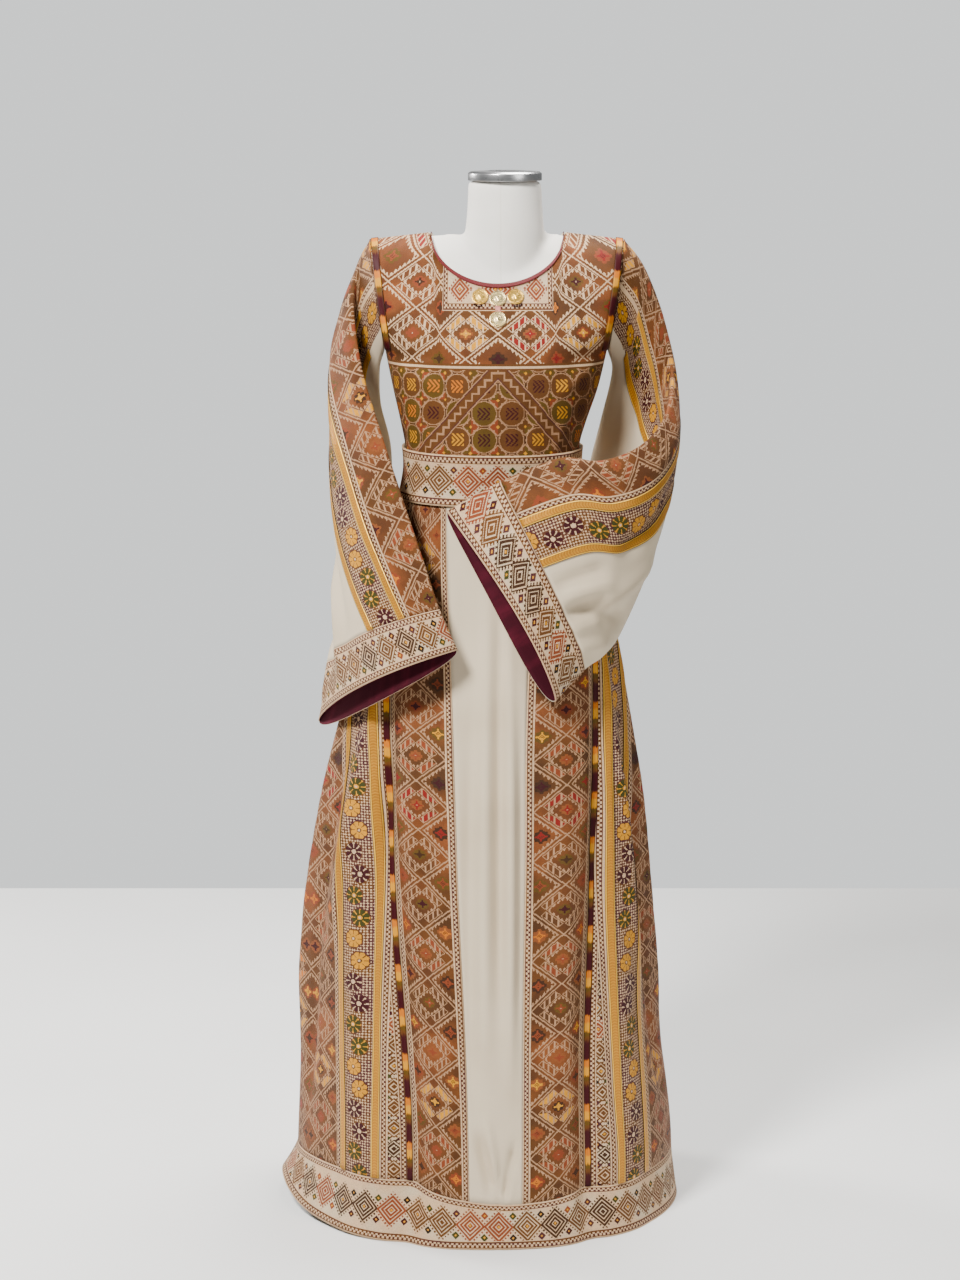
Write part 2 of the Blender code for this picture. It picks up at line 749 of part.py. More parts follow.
def make_sleeve(side):
    mouth = len(SLEEVES[side]) - 1
    seam = mouth - 1
    gap = SEAM_GAP / 0.06 / 2
    sleeve = stations_between(0.0, seam - gap, SLEEVE_STEP)
    cuff = stations_between(seam + gap, float(mouth), SLEEVE_STEP)
    add_layer("sleeve_" + side, lambda inset: [sleeve_ring(side, s, inset) for s in sleeve],
              0.0, CLOTH, "cream cloth", ring=True)
    add_layer("cuff_" + side, lambda inset: [sleeve_ring(side, s, inset) for s in cuff],
              0.0, CLOTH, "band embroidery", ring=True)
    add_layer("cuff_lining_" + side,
              lambda inset: [sleeve_ring(side, s, inset) for s in cuff],
              CLOTH + SEAM_GAP, TRIM_CLOTH, "burgundy lining", ring=True)
    for name, face in (("a", 1), ("b", -1)):
        for label, place in (("inner", 2), ("outer", 4)):
            add_layer("sleeve_ribbon_" + label + "_" + name + "_" + side,
                      ribbon_grid(side, face, place, sleeve[2:]),
                      -SEAM_GAP - TRIM_CLOTH, TRIM_CLOTH, "gold ribbon")


# Neckline coins
def chest_frame(x_share, level):
    centre = bodice_point("front", x_share, level, 0.0)
    aside = bodice_point("front", x_share + 0.02, level, 0.0) - centre
    above = bodice_point("front", x_share, level + 0.02, 0.0) - centre
    outward = aside.cross(above).normalized()
    return centre, outward


def add_coin(name, x_share, level):
    centre, outward = chest_frame(x_share, level)
    form = bmesh.new()
    bmesh.ops.create_cone(form, cap_ends=True, segments=COIN_SIDES, radius1=COIN_RADIUS,
                          radius2=COIN_RADIUS * 0.94, depth=COIN_THICK)
    turn = outward.to_track_quat("Z", "Y").to_matrix().to_4x4()
    lift = centre + outward * (COIN_CLEAR + COIN_THICK / 2)
    bmesh.ops.transform(form, matrix=Matrix.Translation(lift) @ turn, verts=form.verts)
    points = [vertex.co.copy() for vertex in form.verts]
    faces = [tuple(vertex.index for vertex in face.verts) for face in form.faces]
    form.free()
    add_solid(name, points, faces, "gold coin")


def make_coins():
    half = bodice_half("right", bodice_point("front", 0.0, COIN_ROW_SHARE, 0.0).z)
    for name, place in (("left", -1), ("middle", 0), ("right", 1)):
        add_coin("coin_" + name, place * COIN_PITCH / half, COIN_ROW_SHARE)
    add_coin("coin_drop", 0.0, COIN_DROP_SHARE)


# Dress form
def form_ring(drop):
    half = read_table(FORM_COLUMNS, FORM, "half", drop)
    ring = []
    for k in range(FORM_SIDES):
        turn = 2 * math.pi * k / FORM_SIDES
        x = FORM_CENTRE_X + half * rounded(math.sin(turn), BODICE_ROUND)
        face = "front" if math.cos(turn) > 0 else "back"
        depth = read_table(FORM_COLUMNS, FORM, face, drop)
        y = -depth * rounded(round(math.cos(turn), 9), BODICE_ROUND)
        slope = (NECK_POINT_Z - shoulder_height(x)) * (1 - ease(drop / 0.25))
        ring.append(Vector((x, y, NECK_POINT_Z - slope - drop)))
    return ring


def neck_ring(z, half_x, half_y):
    turns = [2 * math.pi * k / FORM_SIDES for k in range(FORM_SIDES)]
    return [Vector((NECK_X + half_x * math.sin(turn), NECK_Y - half_y * math.cos(turn), z))
            for turn in turns]


def add_loft(name, rings, finish, angle=40):
    sides = len(rings[0])
    points = [point for ring in rings for point in ring]
    faces = [tuple(range(sides)), tuple(reversed(range(len(points) - sides, len(points))))]
    for i in range(len(rings) - 1):
        for j in range(sides):
            k = (j + 1) % sides
            faces.append((i * sides + k, i * sides + j, (i + 1) * sides + j, (i + 1) * sides + k))
    return add_solid(name, points, faces, finish, angle)


def close_ridge(item):
    form = bmesh.new()
    form.from_mesh(item.data)
    form.faces.ensure_lookup_table()
    bmesh.ops.delete(form, geom=[form.faces[0]], context="FACES_ONLY")
    bmesh.ops.remove_doubles(form, verts=form.verts, dist=0.00005)
    bmesh.ops.recalc_face_normals(form, faces=form.faces)
    form.to_mesh(item.data)
    form.free()


def make_torso():
    torso = add_loft("form_torso", [form_ring(row[0]) for row in FORM], "form cover", 60)
    close_ridge(torso)
    rings = [neck_ring(**dict(zip(NECK_COLUMNS, row))) for row in NECK]
    neck = add_loft("form_neck_guide", rings, "form cover", 60)
    neck.hide_render = True
    neck.display_type = "WIRE"
    join = torso.modifiers.new("Neck", "BOOLEAN")
    join.operation = "UNION"
    join.object = neck


def round_ring(x, y, z, radius, sides):
    turns = [2 * math.pi * k / sides for k in range(sides)]
    return [Vector((x + radius * math.sin(turn), y - radius * math.cos(turn), z))
            for turn in turns]


def make_stand():
    low = NECK_TOP_Z + SEAM_GAP
    rings = [round_ring(NECK_X, NECK_Y, low + rise, radius, FORM_SIDES) for rise, radius in CAP]
    add_loft("form_neck_cap", rings, "form metal")
    foot = NECK_POINT_Z - FORM[-1][0]
    ends = (BASE_THICK + SEAM_GAP, foot - SEAM_GAP)
    rings = [round_ring(0, 0, z, POLE_RADIUS, POLE_SIDES) for z in ends]
    add_loft("form_pole", rings, "form metal")
    plate = ((0.0, BASE_RADIUS), (BASE_THICK - BASE_BEVEL, BASE_RADIUS),
             (BASE_THICK, BASE_RADIUS - BASE_BEVEL))
    rings = [round_ring(0, 0, z, radius, BASE_SIDES) for z, radius in plate]
    add_loft("form_base", rings, "form metal")


def main():
    clear_scene()
    make_skirt()
    make_hem_bands()
    make_bodice()
    make_belt()
    for side in ("left", "right"):
        make_sleeve(side)
    make_coins()
    make_torso()
    make_stand()


main()
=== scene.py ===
import bisect
import math

import bmesh
import bpy
from mathutils import Matrix, Vector


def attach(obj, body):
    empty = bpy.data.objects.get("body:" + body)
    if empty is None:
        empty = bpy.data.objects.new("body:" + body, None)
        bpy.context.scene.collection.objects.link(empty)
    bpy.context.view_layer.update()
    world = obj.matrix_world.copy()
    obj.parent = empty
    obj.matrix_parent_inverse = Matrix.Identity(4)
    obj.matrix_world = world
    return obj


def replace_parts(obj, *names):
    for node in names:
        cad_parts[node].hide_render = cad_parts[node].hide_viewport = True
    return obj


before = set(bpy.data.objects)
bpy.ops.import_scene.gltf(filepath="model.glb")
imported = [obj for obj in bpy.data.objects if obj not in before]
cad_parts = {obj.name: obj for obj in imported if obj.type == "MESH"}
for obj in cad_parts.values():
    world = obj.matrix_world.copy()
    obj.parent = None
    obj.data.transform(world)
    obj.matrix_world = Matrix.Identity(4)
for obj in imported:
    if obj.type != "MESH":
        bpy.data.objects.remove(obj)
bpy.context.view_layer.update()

# A long embroidered thobe with its belt, on a limbless dress form
# Metres, front towards -Y; left and right are the viewer's
print("frame loaded,", len(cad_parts), "nodes")


# The body of the dress by height: half sizes to the left, right, front and back
bodyColumns = ("z", "left", "right", "front", "back")
bodyRows = (
    (0.000, 0.300, 0.262, 0.236, 0.246),
    (0.120, 0.295, 0.258, 0.229, 0.238),
    (0.292, 0.288, 0.236, 0.211, 0.220),
    (0.450, 0.277, 0.221, 0.192, 0.200),
    (0.600, 0.253, 0.207, 0.173, 0.180),
    (0.711, 0.228, 0.191, 0.158, 0.164),
    (0.800, 0.206, 0.178, 0.146, 0.150),
    (0.900, 0.180, 0.160, 0.131, 0.134),
    (1.000, 0.150, 0.136, 0.112, 0.108),
    (1.080, 0.131, 0.116, 0.095, 0.086),
    (1.117, 0.132, 0.117, 0.098, 0.087),
    (1.150, 0.138, 0.126, 0.102, 0.090),
    (1.200, 0.149, 0.143, 0.112, 0.096),
    (1.255, 0.160, 0.156, 0.115, 0.098),
)

# Depth of the bodice below the shoulder line
dropColumns = ("drop", "front", "back")
dropRows = (
    (0.000, 0.000, 0.000),
    (0.008, 0.016, 0.028),
    (0.020, 0.035, 0.050),
    (0.040, 0.052, 0.066),
    (0.060, 0.064, 0.075),
    (0.110, 0.092, 0.090),
    (0.160, 0.113, 0.098),
    (0.215, 0.112, 0.096),
    (0.270, 0.102, 0.090),
    (0.340, 0.095, 0.086),
)

armholeColumns = ("share", "left", "right")
armholeRows = ((0.0, 0.180, 0.178), (0.5, 0.171, 0.169), (1.0, 0.160, 0.156))

# Borders of the skirt panels, in degrees from the front centre, and the first gold ribbon
borderColumns = ("z", "centre", "seam", "ribbon", "back")
borderRows = {
    "left": (
        (0.00, 7.4, 25.0, 0.050, 94.0),
        (0.22, 8.5, 27.0, 0.044, 94.0),
        (0.50, 11.8, 35.0, 0.020, 97.0),
        (0.78, 17.5, 49.0, 0.019, 106.0),
        (1.08, 30.0, 62.0, 0.018, 128.0),
    ),
    "right": (
        (0.00, 7.4, 30.0, 0.050, 96.0),
        (0.22, 8.2, 32.0, 0.048, 97.0),
        (0.50, 10.2, 40.0, 0.027, 102.0),
        (0.78, 13.2, 51.0, 0.019, 108.0),
        (1.08, 24.0, 62.0, 0.018, 130.0),
    ),
}

# Hem band by angle: upper edge, lower edge and flare
hemColumns = ("angle", "top", "low", "flare")
hemRows = (
    (-180.0, 0.075, 0.000, 0.014),
    (-120.0, 0.078, 0.010, 0.018),
    (-88.0, 0.079, 0.034, 0.024),
    (-60.0, 0.086, 0.010, 0.021),
    (-30.0, 0.086, 0.000, 0.018),
    (0.0, 0.062, 0.000, 0.015),
    (30.0, 0.072, 0.000, 0.013),
    (90.0, 0.075, 0.000, 0.009),
    (180.0, 0.075, 0.000, 0.014),
)

# Largest folds of the skirt: place, rise, spread in degrees and the height at which each starts
foldColumns = ("follows", "angle", "rise", "spread", "start")
foldRows = (
    ("left seam", 0.0, -0.017, 4.6, 1.02),
    ("left seam", -15.0, 0.009, 8.0, 0.80),
    ("left seam", 12.0, 0.004, 6.0, 0.90),
    ("right seam", 0.0, -0.015, 4.6, 1.02),
    ("right seam", 15.0, 0.007, 8.0, 0.80),
    ("right seam", -13.0, 0.004, 6.0, 0.90),
    ("body", 103.0, -0.010, 8.0, 0.95),
    ("body", 121.0, 0.012, 9.0, 0.98),
    ("body", 139.0, -0.013, 8.0, 1.00),
    ("body", 157.0, 0.012, 8.0, 0.94),
    ("body", 176.0, -0.014, 9.0, 1.02),
    ("body", -165.0, 0.011, 8.0, 0.92),
    ("body", -147.0, -0.013, 9.0, 1.00),
    ("body", -126.0, 0.013, 9.0, 0.96),
    ("body", -106.0, -0.009, 8.0, 0.94),
)

# Lesser creases of the skirt: a line from one angle and height to another,
# its rise in metres and its spread in degrees
creaseColumns = ("angle", "high", "toAngle", "low", "rise", "spread")
creaseRows = (
    (-4.5, 1.00, -3.2, 0.24, 0.0052, 2.6),
    (0.8, 0.98, 0.6, 0.34, -0.0044, 2.4),
    (5.8, 0.96, 4.0, 0.20, 0.0046, 2.4),
    (10.5, 0.80, 7.6, 0.30, -0.0030, 2.0),
    (-10.0, 0.84, -7.4, 0.16, -0.0036, 2.2),
    (-6.0, 0.185, -1.0, 0.082, -0.0050, 1.5),
    (-3.6, 0.210, 1.2, 0.075, 0.0034, 1.1),
    (5.8, 0.170, 2.0, 0.076, -0.0052, 1.3),
    (4.2, 0.150, 3.6, 0.078, 0.0030, 1.0),
    (0.4, 0.135, 0.2, 0.070, -0.0032, 1.0),
    (-21.0, 1.00, -16.0, 0.60, 0.0022, 3.0),
    (-26.0, 0.72, -17.0, 0.20, -0.0020, 3.2),
    (17.0, 0.98, 15.0, 0.42, -0.0021, 3.4),
    (30.0, 0.80, 22.0, 0.15, 0.0024, 3.6),
    (-44.0, 0.86, -36.0, 0.12, -0.0028, 3.0),
    (-52.0, 1.02, -58.0, 0.35, 0.0034, 3.6),
    (-66.0, 0.78, -72.0, 0.10, -0.0046, 4.4),
    (-79.0, 0.98, -84.0, 0.20, 0.0040, 4.0),
    (-92.0, 0.60, -93.0, 0.09, -0.0036, 3.6),
    (46.0, 0.70, 41.0, 0.10, -0.0026, 3.0),
    (58.0, 1.00, 62.0, 0.30, 0.0032, 3.6),
    (69.0, 0.84, 74.0, 0.12, -0.0046, 4.2),
    (82.0, 0.96, 86.0, 0.22, 0.0042, 3.8),
    (94.0, 0.66, 93.0, 0.10, -0.0034, 3.4),
    (112.0, 1.03, 111.0, 0.55, -0.0036, 3.0),
    (130.0, 0.90, 132.0, 0.12, -0.0040, 3.2),
    (148.0, 1.00, 150.0, 0.40, 0.0036, 3.0),
    (166.0, 0.74, 167.0, 0.10, 0.0034, 3.4),
    (-173.0, 1.02, -174.0, 0.30, 0.0040, 3.0),
    (-156.0, 0.82, -155.0, 0.10, -0.0040, 3.2),
    (-137.0, 0.98, -138.0, 0.46, 0.0036, 3.0),
    (-116.0, 0.88, -116.0, 0.10, -0.0038, 3.4),
)

# Pulls of the bodice: from one share and height to another, rise and spread in metres
bodicePullColumns = ("share", "high", "toShare", "low", "rise", "spread")
bodicePulls = {
    "front": (
        (-0.98, 1.262, -0.62, 1.236, -0.0034, 0.010),
        (-0.96, 1.238, -0.55, 1.205, 0.0022, 0.010),
        (0.98, 1.266, 0.60, 1.238, -0.0034, 0.010),
        (0.95, 1.240, 0.58, 1.196, 0.0022, 0.010),
        (-0.42, 1.205, -0.30, 1.098, -0.0026, 0.009),
        (-0.20, 1.190, -0.14, 1.092, 0.0016, 0.009),
        (0.36, 1.212, 0.26, 1.096, -0.0026, 0.009),
        (0.10, 1.180, 0.08, 1.095, -0.0014, 0.008),
        (-0.78, 1.180, -0.70, 1.090, 0.0020, 0.010),
        (0.74, 1.176, 0.68, 1.088, 0.0018, 0.010),
        (-0.66, 1.388, -0.60, 1.330, -0.0018, 0.010),
        (0.68, 1.386, 0.60, 1.326, -0.0018, 0.010),
    ),
    "back": (
        (-0.94, 1.268, -0.40, 1.222, -0.0030, 0.012),
        (0.95, 1.262, 0.45, 1.215, -0.0030, 0.012),
        (-0.60, 1.215, -0.50, 1.090, 0.0030, 0.011),
        (-0.25, 1.240, -0.22, 1.090, -0.0034, 0.012),
        (0.10, 1.210, 0.12, 1.090, 0.0026, 0.011),
        (0.42, 1.235, 0.36, 1.090, -0.0034, 0.012),
        (0.72, 1.190, 0.66, 1.090, 0.0026, 0.010),
        (-0.50, 1.380, -0.20, 1.350, -0.0016, 0.012),
        (0.48, 1.380, 0.22, 1.346, -0.0016, 0.012),
    ),
}

# Sleeve sections: the fold over the arm, the middle, the fold under it, half the fullness,
# the share of that next to the body and how far that face runs past the other
sleeveColumns = ("over", "middle", "under", "puff", "tuck", "lag")
sleeveRows = {
    "left": (
        ((-0.180, 0.000, 1.410), (-0.171, 0.000, 1.3325), (-0.160, 0.000, 1.255), 0.040, 1.00, 0.000),
        ((-0.198, -0.004, 1.375), (-0.190, 0.008, 1.298), (-0.169, 0.020, 1.222), 0.031, 0.50, 0.000),
        ((-0.204, -0.020, 1.318), (-0.207, 0.018, 1.245), (-0.168, 0.050, 1.172), 0.023, 0.35, 0.000),
        ((-0.191, -0.054, 1.232), (-0.218, 0.008, 1.168), (-0.154, 0.074, 1.102), 0.020, 0.55, 0.000),
        ((-0.163, -0.090, 1.145), (-0.221, -0.018, 1.080), (-0.158, 0.087, 1.012), 0.018, 0.90, 0.000),
        ((-0.131, -0.122, 1.052), (-0.214, -0.052, 0.985), (-0.184, 0.088, 0.922), 0.017, 1.00, 0.000),
        ((-0.103, -0.147, 0.972), (-0.200, -0.086, 0.915), (-0.217, 0.068, 0.846), 0.016, 1.00, 0.000),
        ((-0.081, -0.164, 0.908), (-0.186, -0.112, 0.860), (-0.242, 0.046, 0.778), 0.014, 1.00, 0.004),
        ((-0.056, -0.174, 0.852), (-0.173, -0.143, 0.798), (-0.260, 0.024, 0.708), 0.014, 0.90, 0.022),
    ),
    "right": (
        ((0.178, 0.000, 1.410), (0.169, 0.000, 1.3325), (0.156, 0.000, 1.255), 0.040, 1.00, 0.000),
        ((0.207, -0.002, 1.372), (0.192, 0.008, 1.295), (0.164, 0.020, 1.218), 0.028, 1.00, 0.000),
        ((0.231, -0.006, 1.310), (0.208, 0.018, 1.225), (0.149, 0.048, 1.148), 0.020, 1.00, 0.000),
        ((0.246, -0.012, 1.240), (0.220, 0.022, 1.145), (0.132, 0.076, 1.060), 0.016, 1.00, 0.000),
        ((0.244, -0.045, 1.192), (0.230, 0.002, 1.085), (0.140, 0.080, 0.985), 0.014, 1.00, 0.000),
        ((0.226, -0.092, 1.155), (0.229, -0.048, 1.035), (0.166, 0.046, 0.925), 0.013, 1.00, 0.000),
        ((0.190, -0.130, 1.128), (0.208, -0.100, 1.000), (0.178, -0.030, 0.882), 0.013, 1.00, 0.000),
        ((0.140, -0.150, 1.114), (0.168, -0.138, 0.980), (0.168, -0.086, 0.852), 0.014, 1.00, 0.000),
        ((0.085, -0.153, 1.118), (0.125, -0.160, 0.972), (0.146, -0.122, 0.832), 0.015, 1.00, 0.000),
        ((0.004, -0.142, 1.084), (0.068, -0.170, 0.953), (0.121, -0.144, 0.818), 0.016, 1.00, 0.004),
        ((-0.071, -0.124, 1.040), (0.017, -0.176, 0.916), (0.080, -0.160, 0.776), 0.019, 1.00, 0.022),
    ),
}

# Creases of the sleeves: from one station and share of the width to another, on the face
# that shows (front) or the one behind it (back), with the rise and the spread in metres
sleeveCreaseColumns = ("face", "station", "share", "toStation", "toShare", "rise", "spread")
sleeveCreases = {
    "left": (
        ("front", 0.5, 0.55, 3.6, 0.80, -0.0050, 0.014),
        ("front", 1.0, 0.80, 5.0, 0.70, 0.0040, 0.013),
        ("front", 2.2, 0.62, 7.2, 0.60, -0.0040, 0.012),
        ("front", 3.5, 0.88, 7.8, 0.78, -0.0052, 0.014),
        ("front", 4.8, 0.70, 7.9, 0.70, 0.0042, 0.012),
        ("front", 1.6, 0.24, 4.6, 0.30, 0.0026, 0.016),
        ("front", 5.0, 0.30, 7.6, 0.22, -0.0022, 0.016),
        ("front", 6.2, 0.90, 8.0, 0.92, 0.0040, 0.010),
        ("back", 0.6, 0.50, 3.4, 0.72, -0.0040, 0.014),
        ("back", 2.0, 0.40, 6.6, 0.50, 0.0012, 0.015),
        ("back", 3.0, 0.66, 7.6, 0.74, -0.0044, 0.014),
        ("back", 4.4, 0.84, 7.9, 0.88, -0.0030, 0.012),
        ("back", 4.0, 0.18, 7.4, 0.30, -0.0026, 0.014),
    ),
    "right": (
        ("front", 0.4, 0.60, 2.8, 0.52, -0.0050, 0.012),
        ("front", 0.8, 0.82, 3.6, 0.66, 0.0044, 0.012),
        ("front", 1.4, 0.92, 4.4, 0.80, -0.0056, 0.013),
        ("front", 2.2, 0.50, 4.6, 0.60, 0.0036, 0.012),
        ("front", 3.0, 0.90, 5.8, 0.90, 0.0040, 0.012),
        ("front", 4.6, 0.34, 7.4, 0.48, -0.0044, 0.015),
        ("front", 5.6, 0.62, 8.4, 0.72, 0.0042, 0.015),
        ("front", 6.4, 0.20, 8.2, 0.10, -0.0030, 0.012),
        ("front", 6.8, 0.86, 9.0, 0.66, -0.0046, 0.014),
        ("front", 7.6, 0.94, 9.4, 0.86, 0.0040, 0.012),
        ("front", 3.8, 0.10, 6.4, 0.16, 0.0030, 0.014),
        ("front", 7.4, 0.52, 9.2, 0.56, -0.0030, 0.008),
        ("front", 7.2, 0.60, 9.2, 0.63, 0.0030, 0.008),
        ("front", 7.7, 0.68, 9.2, 0.70, -0.0032, 0.008),
        ("front", 7.9, 0.78, 9.2, 0.77, 0.0030, 0.008),
        ("back", 0.6, 0.55, 3.2, 0.60, -0.0040, 0.014),
        ("back", 1.8, 0.76, 5.0, 0.70, 0.0012, 0.014),
        ("back", 3.2, 0.40, 6.6, 0.46, -0.0038, 0.015),
        ("back", 5.0, 0.66, 8.8, 0.78, -0.0030, 0.014),
        ("back", 4.2, 0.90, 7.6, 0.90, -0.0034, 0.012),
    ),
}

# Walls, seam gaps and the heights that the pieces share
cloth = {
    "wall": 0.0012, "seamGap": 0.0003, "trimWall": 0.0011, "trimRise": 0.0016,
    "neckPoint": 1.420, "shoulderTip": 1.410, "underarm": 1.255, "waist": 1.080, "hip": 0.850,
    "bandTop": 0.075, "neckHalfShare": 0.52, "neckHalfWidth": 0.093, "frontScoop": 0.069,
    "backScoop": 0.025, "shoulderHalf": 0.179, "armholeDepth": 0.040, "roundness": 0.87,
    "armholeGap": 0.0010, "sleeveTurn": 2.8, "foldGrowth": 0.45,
}

# How much deeper the creases lie than their rows say, and the degrees where the back starts;
# half the chest, a station of a sleeve and a sleeve's width, in metres, for their directions
creases = {
    "skirtFront": 1.3, "skirtBack": 2.9, "backFrom": 100, "bodiceFront": 2.0, "bodiceBack": 2.6,
    "sleeveFront": 2.1, "sleeveBack": 1.3, "halfChest": 0.155, "station": 0.08,
    "sleeveWidth": 0.25,
}


# Numbers along a table
def smoothValue(stations, values, at):
    at = min(max(at, stations[0]), stations[-1])
    i = min(max(bisect.bisect_right(stations, at) - 1, 0), len(stations) - 2)
    span = stations[i + 1] - stations[i]
    u = (at - stations[i]) / span
    slopes = []
    for k in (i, i + 1):
        low = max(k - 1, 0)
        high = min(k + 1, len(stations) - 1)
        slopes.append((values[high] - values[low]) / (stations[high] - stations[low]))
    return (values[i] * (1 + 2 * u) * (1 - u) ** 2 + slopes[0] * span * u * (1 - u) ** 2
            + values[i + 1] * u * u * (3 - 2 * u) + slopes[1] * span * u * u * (u - 1))


tableCache = {}


def readTable(columns, rows, name, at):
    key = (id(rows), name)
    if key not in tableCache:
        place = columns.index(name)
        tableCache[key] = ([row[0] for row in rows], [row[place] for row in rows])
    return smoothValue(*tableCache[key], at)


def ease(value):
    value = min(max(value, 0.0), 1.0)
    return value * value * (3 - 2 * value)


def rounded(value, power):
    return math.copysign(abs(value) ** power, value)


def sideOf(angle):
    return "left" if angle < 0 else "right"


def signOf(side):
    return -1 if side == "left" else 1


def turned(angle):
    # The same direction, from -180 to 180 degrees
    return (angle + 180.0) % 360.0 - 180.0


def alongCrease(x, y, x0, y0, x1, y1, spread):
    # How much of a crease a point feels: full beside its line, fading at both ends
    dx, dy = x1 - x0, y1 - y0
    length = dx * dx + dy * dy
    t = min(max(((x - x0) * dx + (y - y0) * dy) / length, 0.0), 1.0)
    away = math.hypot(x - x0 - t * dx, y - y0 - t * dy) / spread
    return math.exp(-away * away) * ease(t / 0.3) * ease((1 - t) / 0.3) if away < 3 else 0.0


# Body of the dress
def halfSize(name, z):
    return readTable(bodyColumns, bodyRows, name, z)


def roundness(z):
    share = ease((z - cloth["hip"]) / (cloth["waist"] - cloth["hip"]))
    return 1.0 + (cloth["roundness"] - 1.0) * share


def border(side, name, z):
    return readTable(borderColumns, borderRows[side], name, z)


def foldPush(angle, z):
    push = 0.0
    for row in foldRows:
        fold = dict(zip(foldColumns, row))
        centre = fold["angle"]
        if fold["follows"] == "left seam":
            centre -= border("left", "seam", z)
        if fold["follows"] == "right seam":
            centre += border("right", "seam", z)
        away = turned(angle - centre)
        grown = ease((fold["start"] - z) / cloth["foldGrowth"])
        push += fold["rise"] * math.exp(-(away / fold["spread"]) ** 2) * grown
    return push + creasePush(angle, z)


def creasePush(angle, z):
    # A crease fades at both ends, and lies deeper low on the skirt
    angle = turned(angle)
    depth = creases["skirtBack" if abs(angle) > creases["backFrom"] else "skirtFront"]
    push = 0.0
    for row in creaseRows:
        crease = dict(zip(creaseColumns, row))
        low, high = crease["low"], crease["high"]
        if low < z < high:
            t = (high - z) / (high - low)
            centre = crease["angle"] + t * (crease["toAngle"] - crease["angle"])
            away = (angle - centre) / crease["spread"]
            if abs(away) < 3:
                fade = ease(t / 0.35) * ease((1 - t) / 0.2) * (1 + 0.6 * ease((0.80 - z) / 0.2))
                push += crease["rise"] * math.exp(-away * away) * fade * depth
    return push


def ringPoint(angle, z, inset, push=0.0):
    turn = math.radians(angle)
    power = roundness(z)
    half = halfSize(sideOf(angle), z) - inset
    depth = halfSize("front" if abs(angle) < 90 else "back", z) - inset
    x = half * rounded(math.sin(turn), power) + push * math.sin(turn)
    y = -depth * rounded(math.cos(turn), power) - push * math.cos(turn)
    return Vector((x, y, z))


def arcPerDegree(angle, z):
    return (ringPoint(angle + 0.5, z, 0.0) - ringPoint(angle - 0.5, z, 0.0)).length


def angleAfter(angle, z, distance):
    for _ in range(6):
        angle += distance / 6 / arcPerDegree(angle, z)
    return angle


def nominalHeight(level):
    return cloth["bandTop"] + level * (cloth["waist"] - cloth["bandTop"])


def skirtPoint(angle, level, inset):
    low = readTable(hemColumns, hemRows, "top", angle)
    z = low + cloth["seamGap"] / 2 + level * (cloth["waist"] - low - cloth["seamGap"])
    return ringPoint(angle, z, inset, foldPush(angle, nominalHeight(level)))


def bandPoint(angle, level, inset):
    top = readTable(hemColumns, hemRows, "top", angle) - cloth["seamGap"] / 2
    low = readTable(hemColumns, hemRows, "low", angle)
    flare = readTable(hemColumns, hemRows, "flare", angle) * (1 - level) ** 1.3
    push = foldPush(angle, cloth["bandTop"]) * (0.45 + 0.55 * level)
    point = ringPoint(angle, top, inset, push + flare)
    point.z = low + level * (top - low)
    return point


def seamShift(angle, z):
    return cloth["seamGap"] / 2 / arcPerDegree(angle, z)


# Bodice
def armholeHalf(side, z):
    share = (cloth["shoulderTip"] - z) / (cloth["shoulderTip"] - cloth["underarm"])
    return readTable(armholeColumns, armholeRows, side, share)


def bodiceHalf(side, z):
    return armholeHalf(side, z) if z > cloth["underarm"] else halfSize(side, z)


def shoulderHeight(x):
    share = (abs(x) - cloth["neckHalfWidth"]) / (cloth["shoulderHalf"] - cloth["neckHalfWidth"])
    share = min(max(share, 0.0), 1.0)
    return cloth["neckPoint"] - share * (cloth["neckPoint"] - cloth["shoulderTip"])


def bodiceTop(share, scoop):
    if abs(share) >= cloth["neckHalfShare"]:
        return shoulderHeight(share * cloth["shoulderHalf"])
    along = abs(share) / cloth["neckHalfShare"]
    return cloth["neckPoint"] - scoop * math.sqrt(max(1 - along * along, 0.0))


def armholeBend(z):
    share = (cloth["shoulderTip"] - z) / (cloth["shoulderTip"] - cloth["underarm"])
    return cloth["armholeDepth"] * 2 * math.sqrt(max(share * (1 - share), 0.0))


def bodicePush(face, share, z):
    # Only the pulls that stand out are deepened
    half = creases["halfChest"]
    push = 0.0
    for row in bodicePulls[face]:
        pull = dict(zip(bodicePullColumns, row))
        depth = creases["bodice" + face.capitalize()] if pull["rise"] > 0 else 1.0
        push += pull["rise"] * depth * alongCrease(
            share * half, z, pull["share"] * half, pull["high"],
            pull["toShare"] * half, pull["low"], pull["spread"])
    # Nothing stirs under the belt, or at the armholes
    return push * ease((z - 1.100) / 0.030) * ease((1 - abs(share)) / 0.06)


def bodicePoint(face, share, level, inset):
    scoop = cloth["frontScoop"] if face == "front" else cloth["backScoop"]
    low = cloth["waist"] + cloth["seamGap"] / 2
    z = low + level * (bodiceTop(share, scoop) - max(inset, -0.0013) - low)
    x = share * (bodiceHalf(sideOf(share), z) - inset)
    drop = shoulderHeight(x) - inset - z
    depth = max(readTable(dropColumns, dropRows, face, drop) - inset * ease(drop / 0.01), 0.0)
    bend = 0.0
    if z > cloth["underarm"]:
        bend = min(max(armholeBend(z + inset * level) - inset, 0.0), depth)
    power = 1 / cloth["roundness"] * 2
    roundShare = max(1 - abs(share) ** power, 0.0) ** (1 / power)
    y = cloth["seamGap"] / 2 + bend + (depth - bend) * roundShare + bodicePush(face, share, z)
    return Vector((x, -y if face == "front" else y, z))


# Sleeves
sectionCache = {}


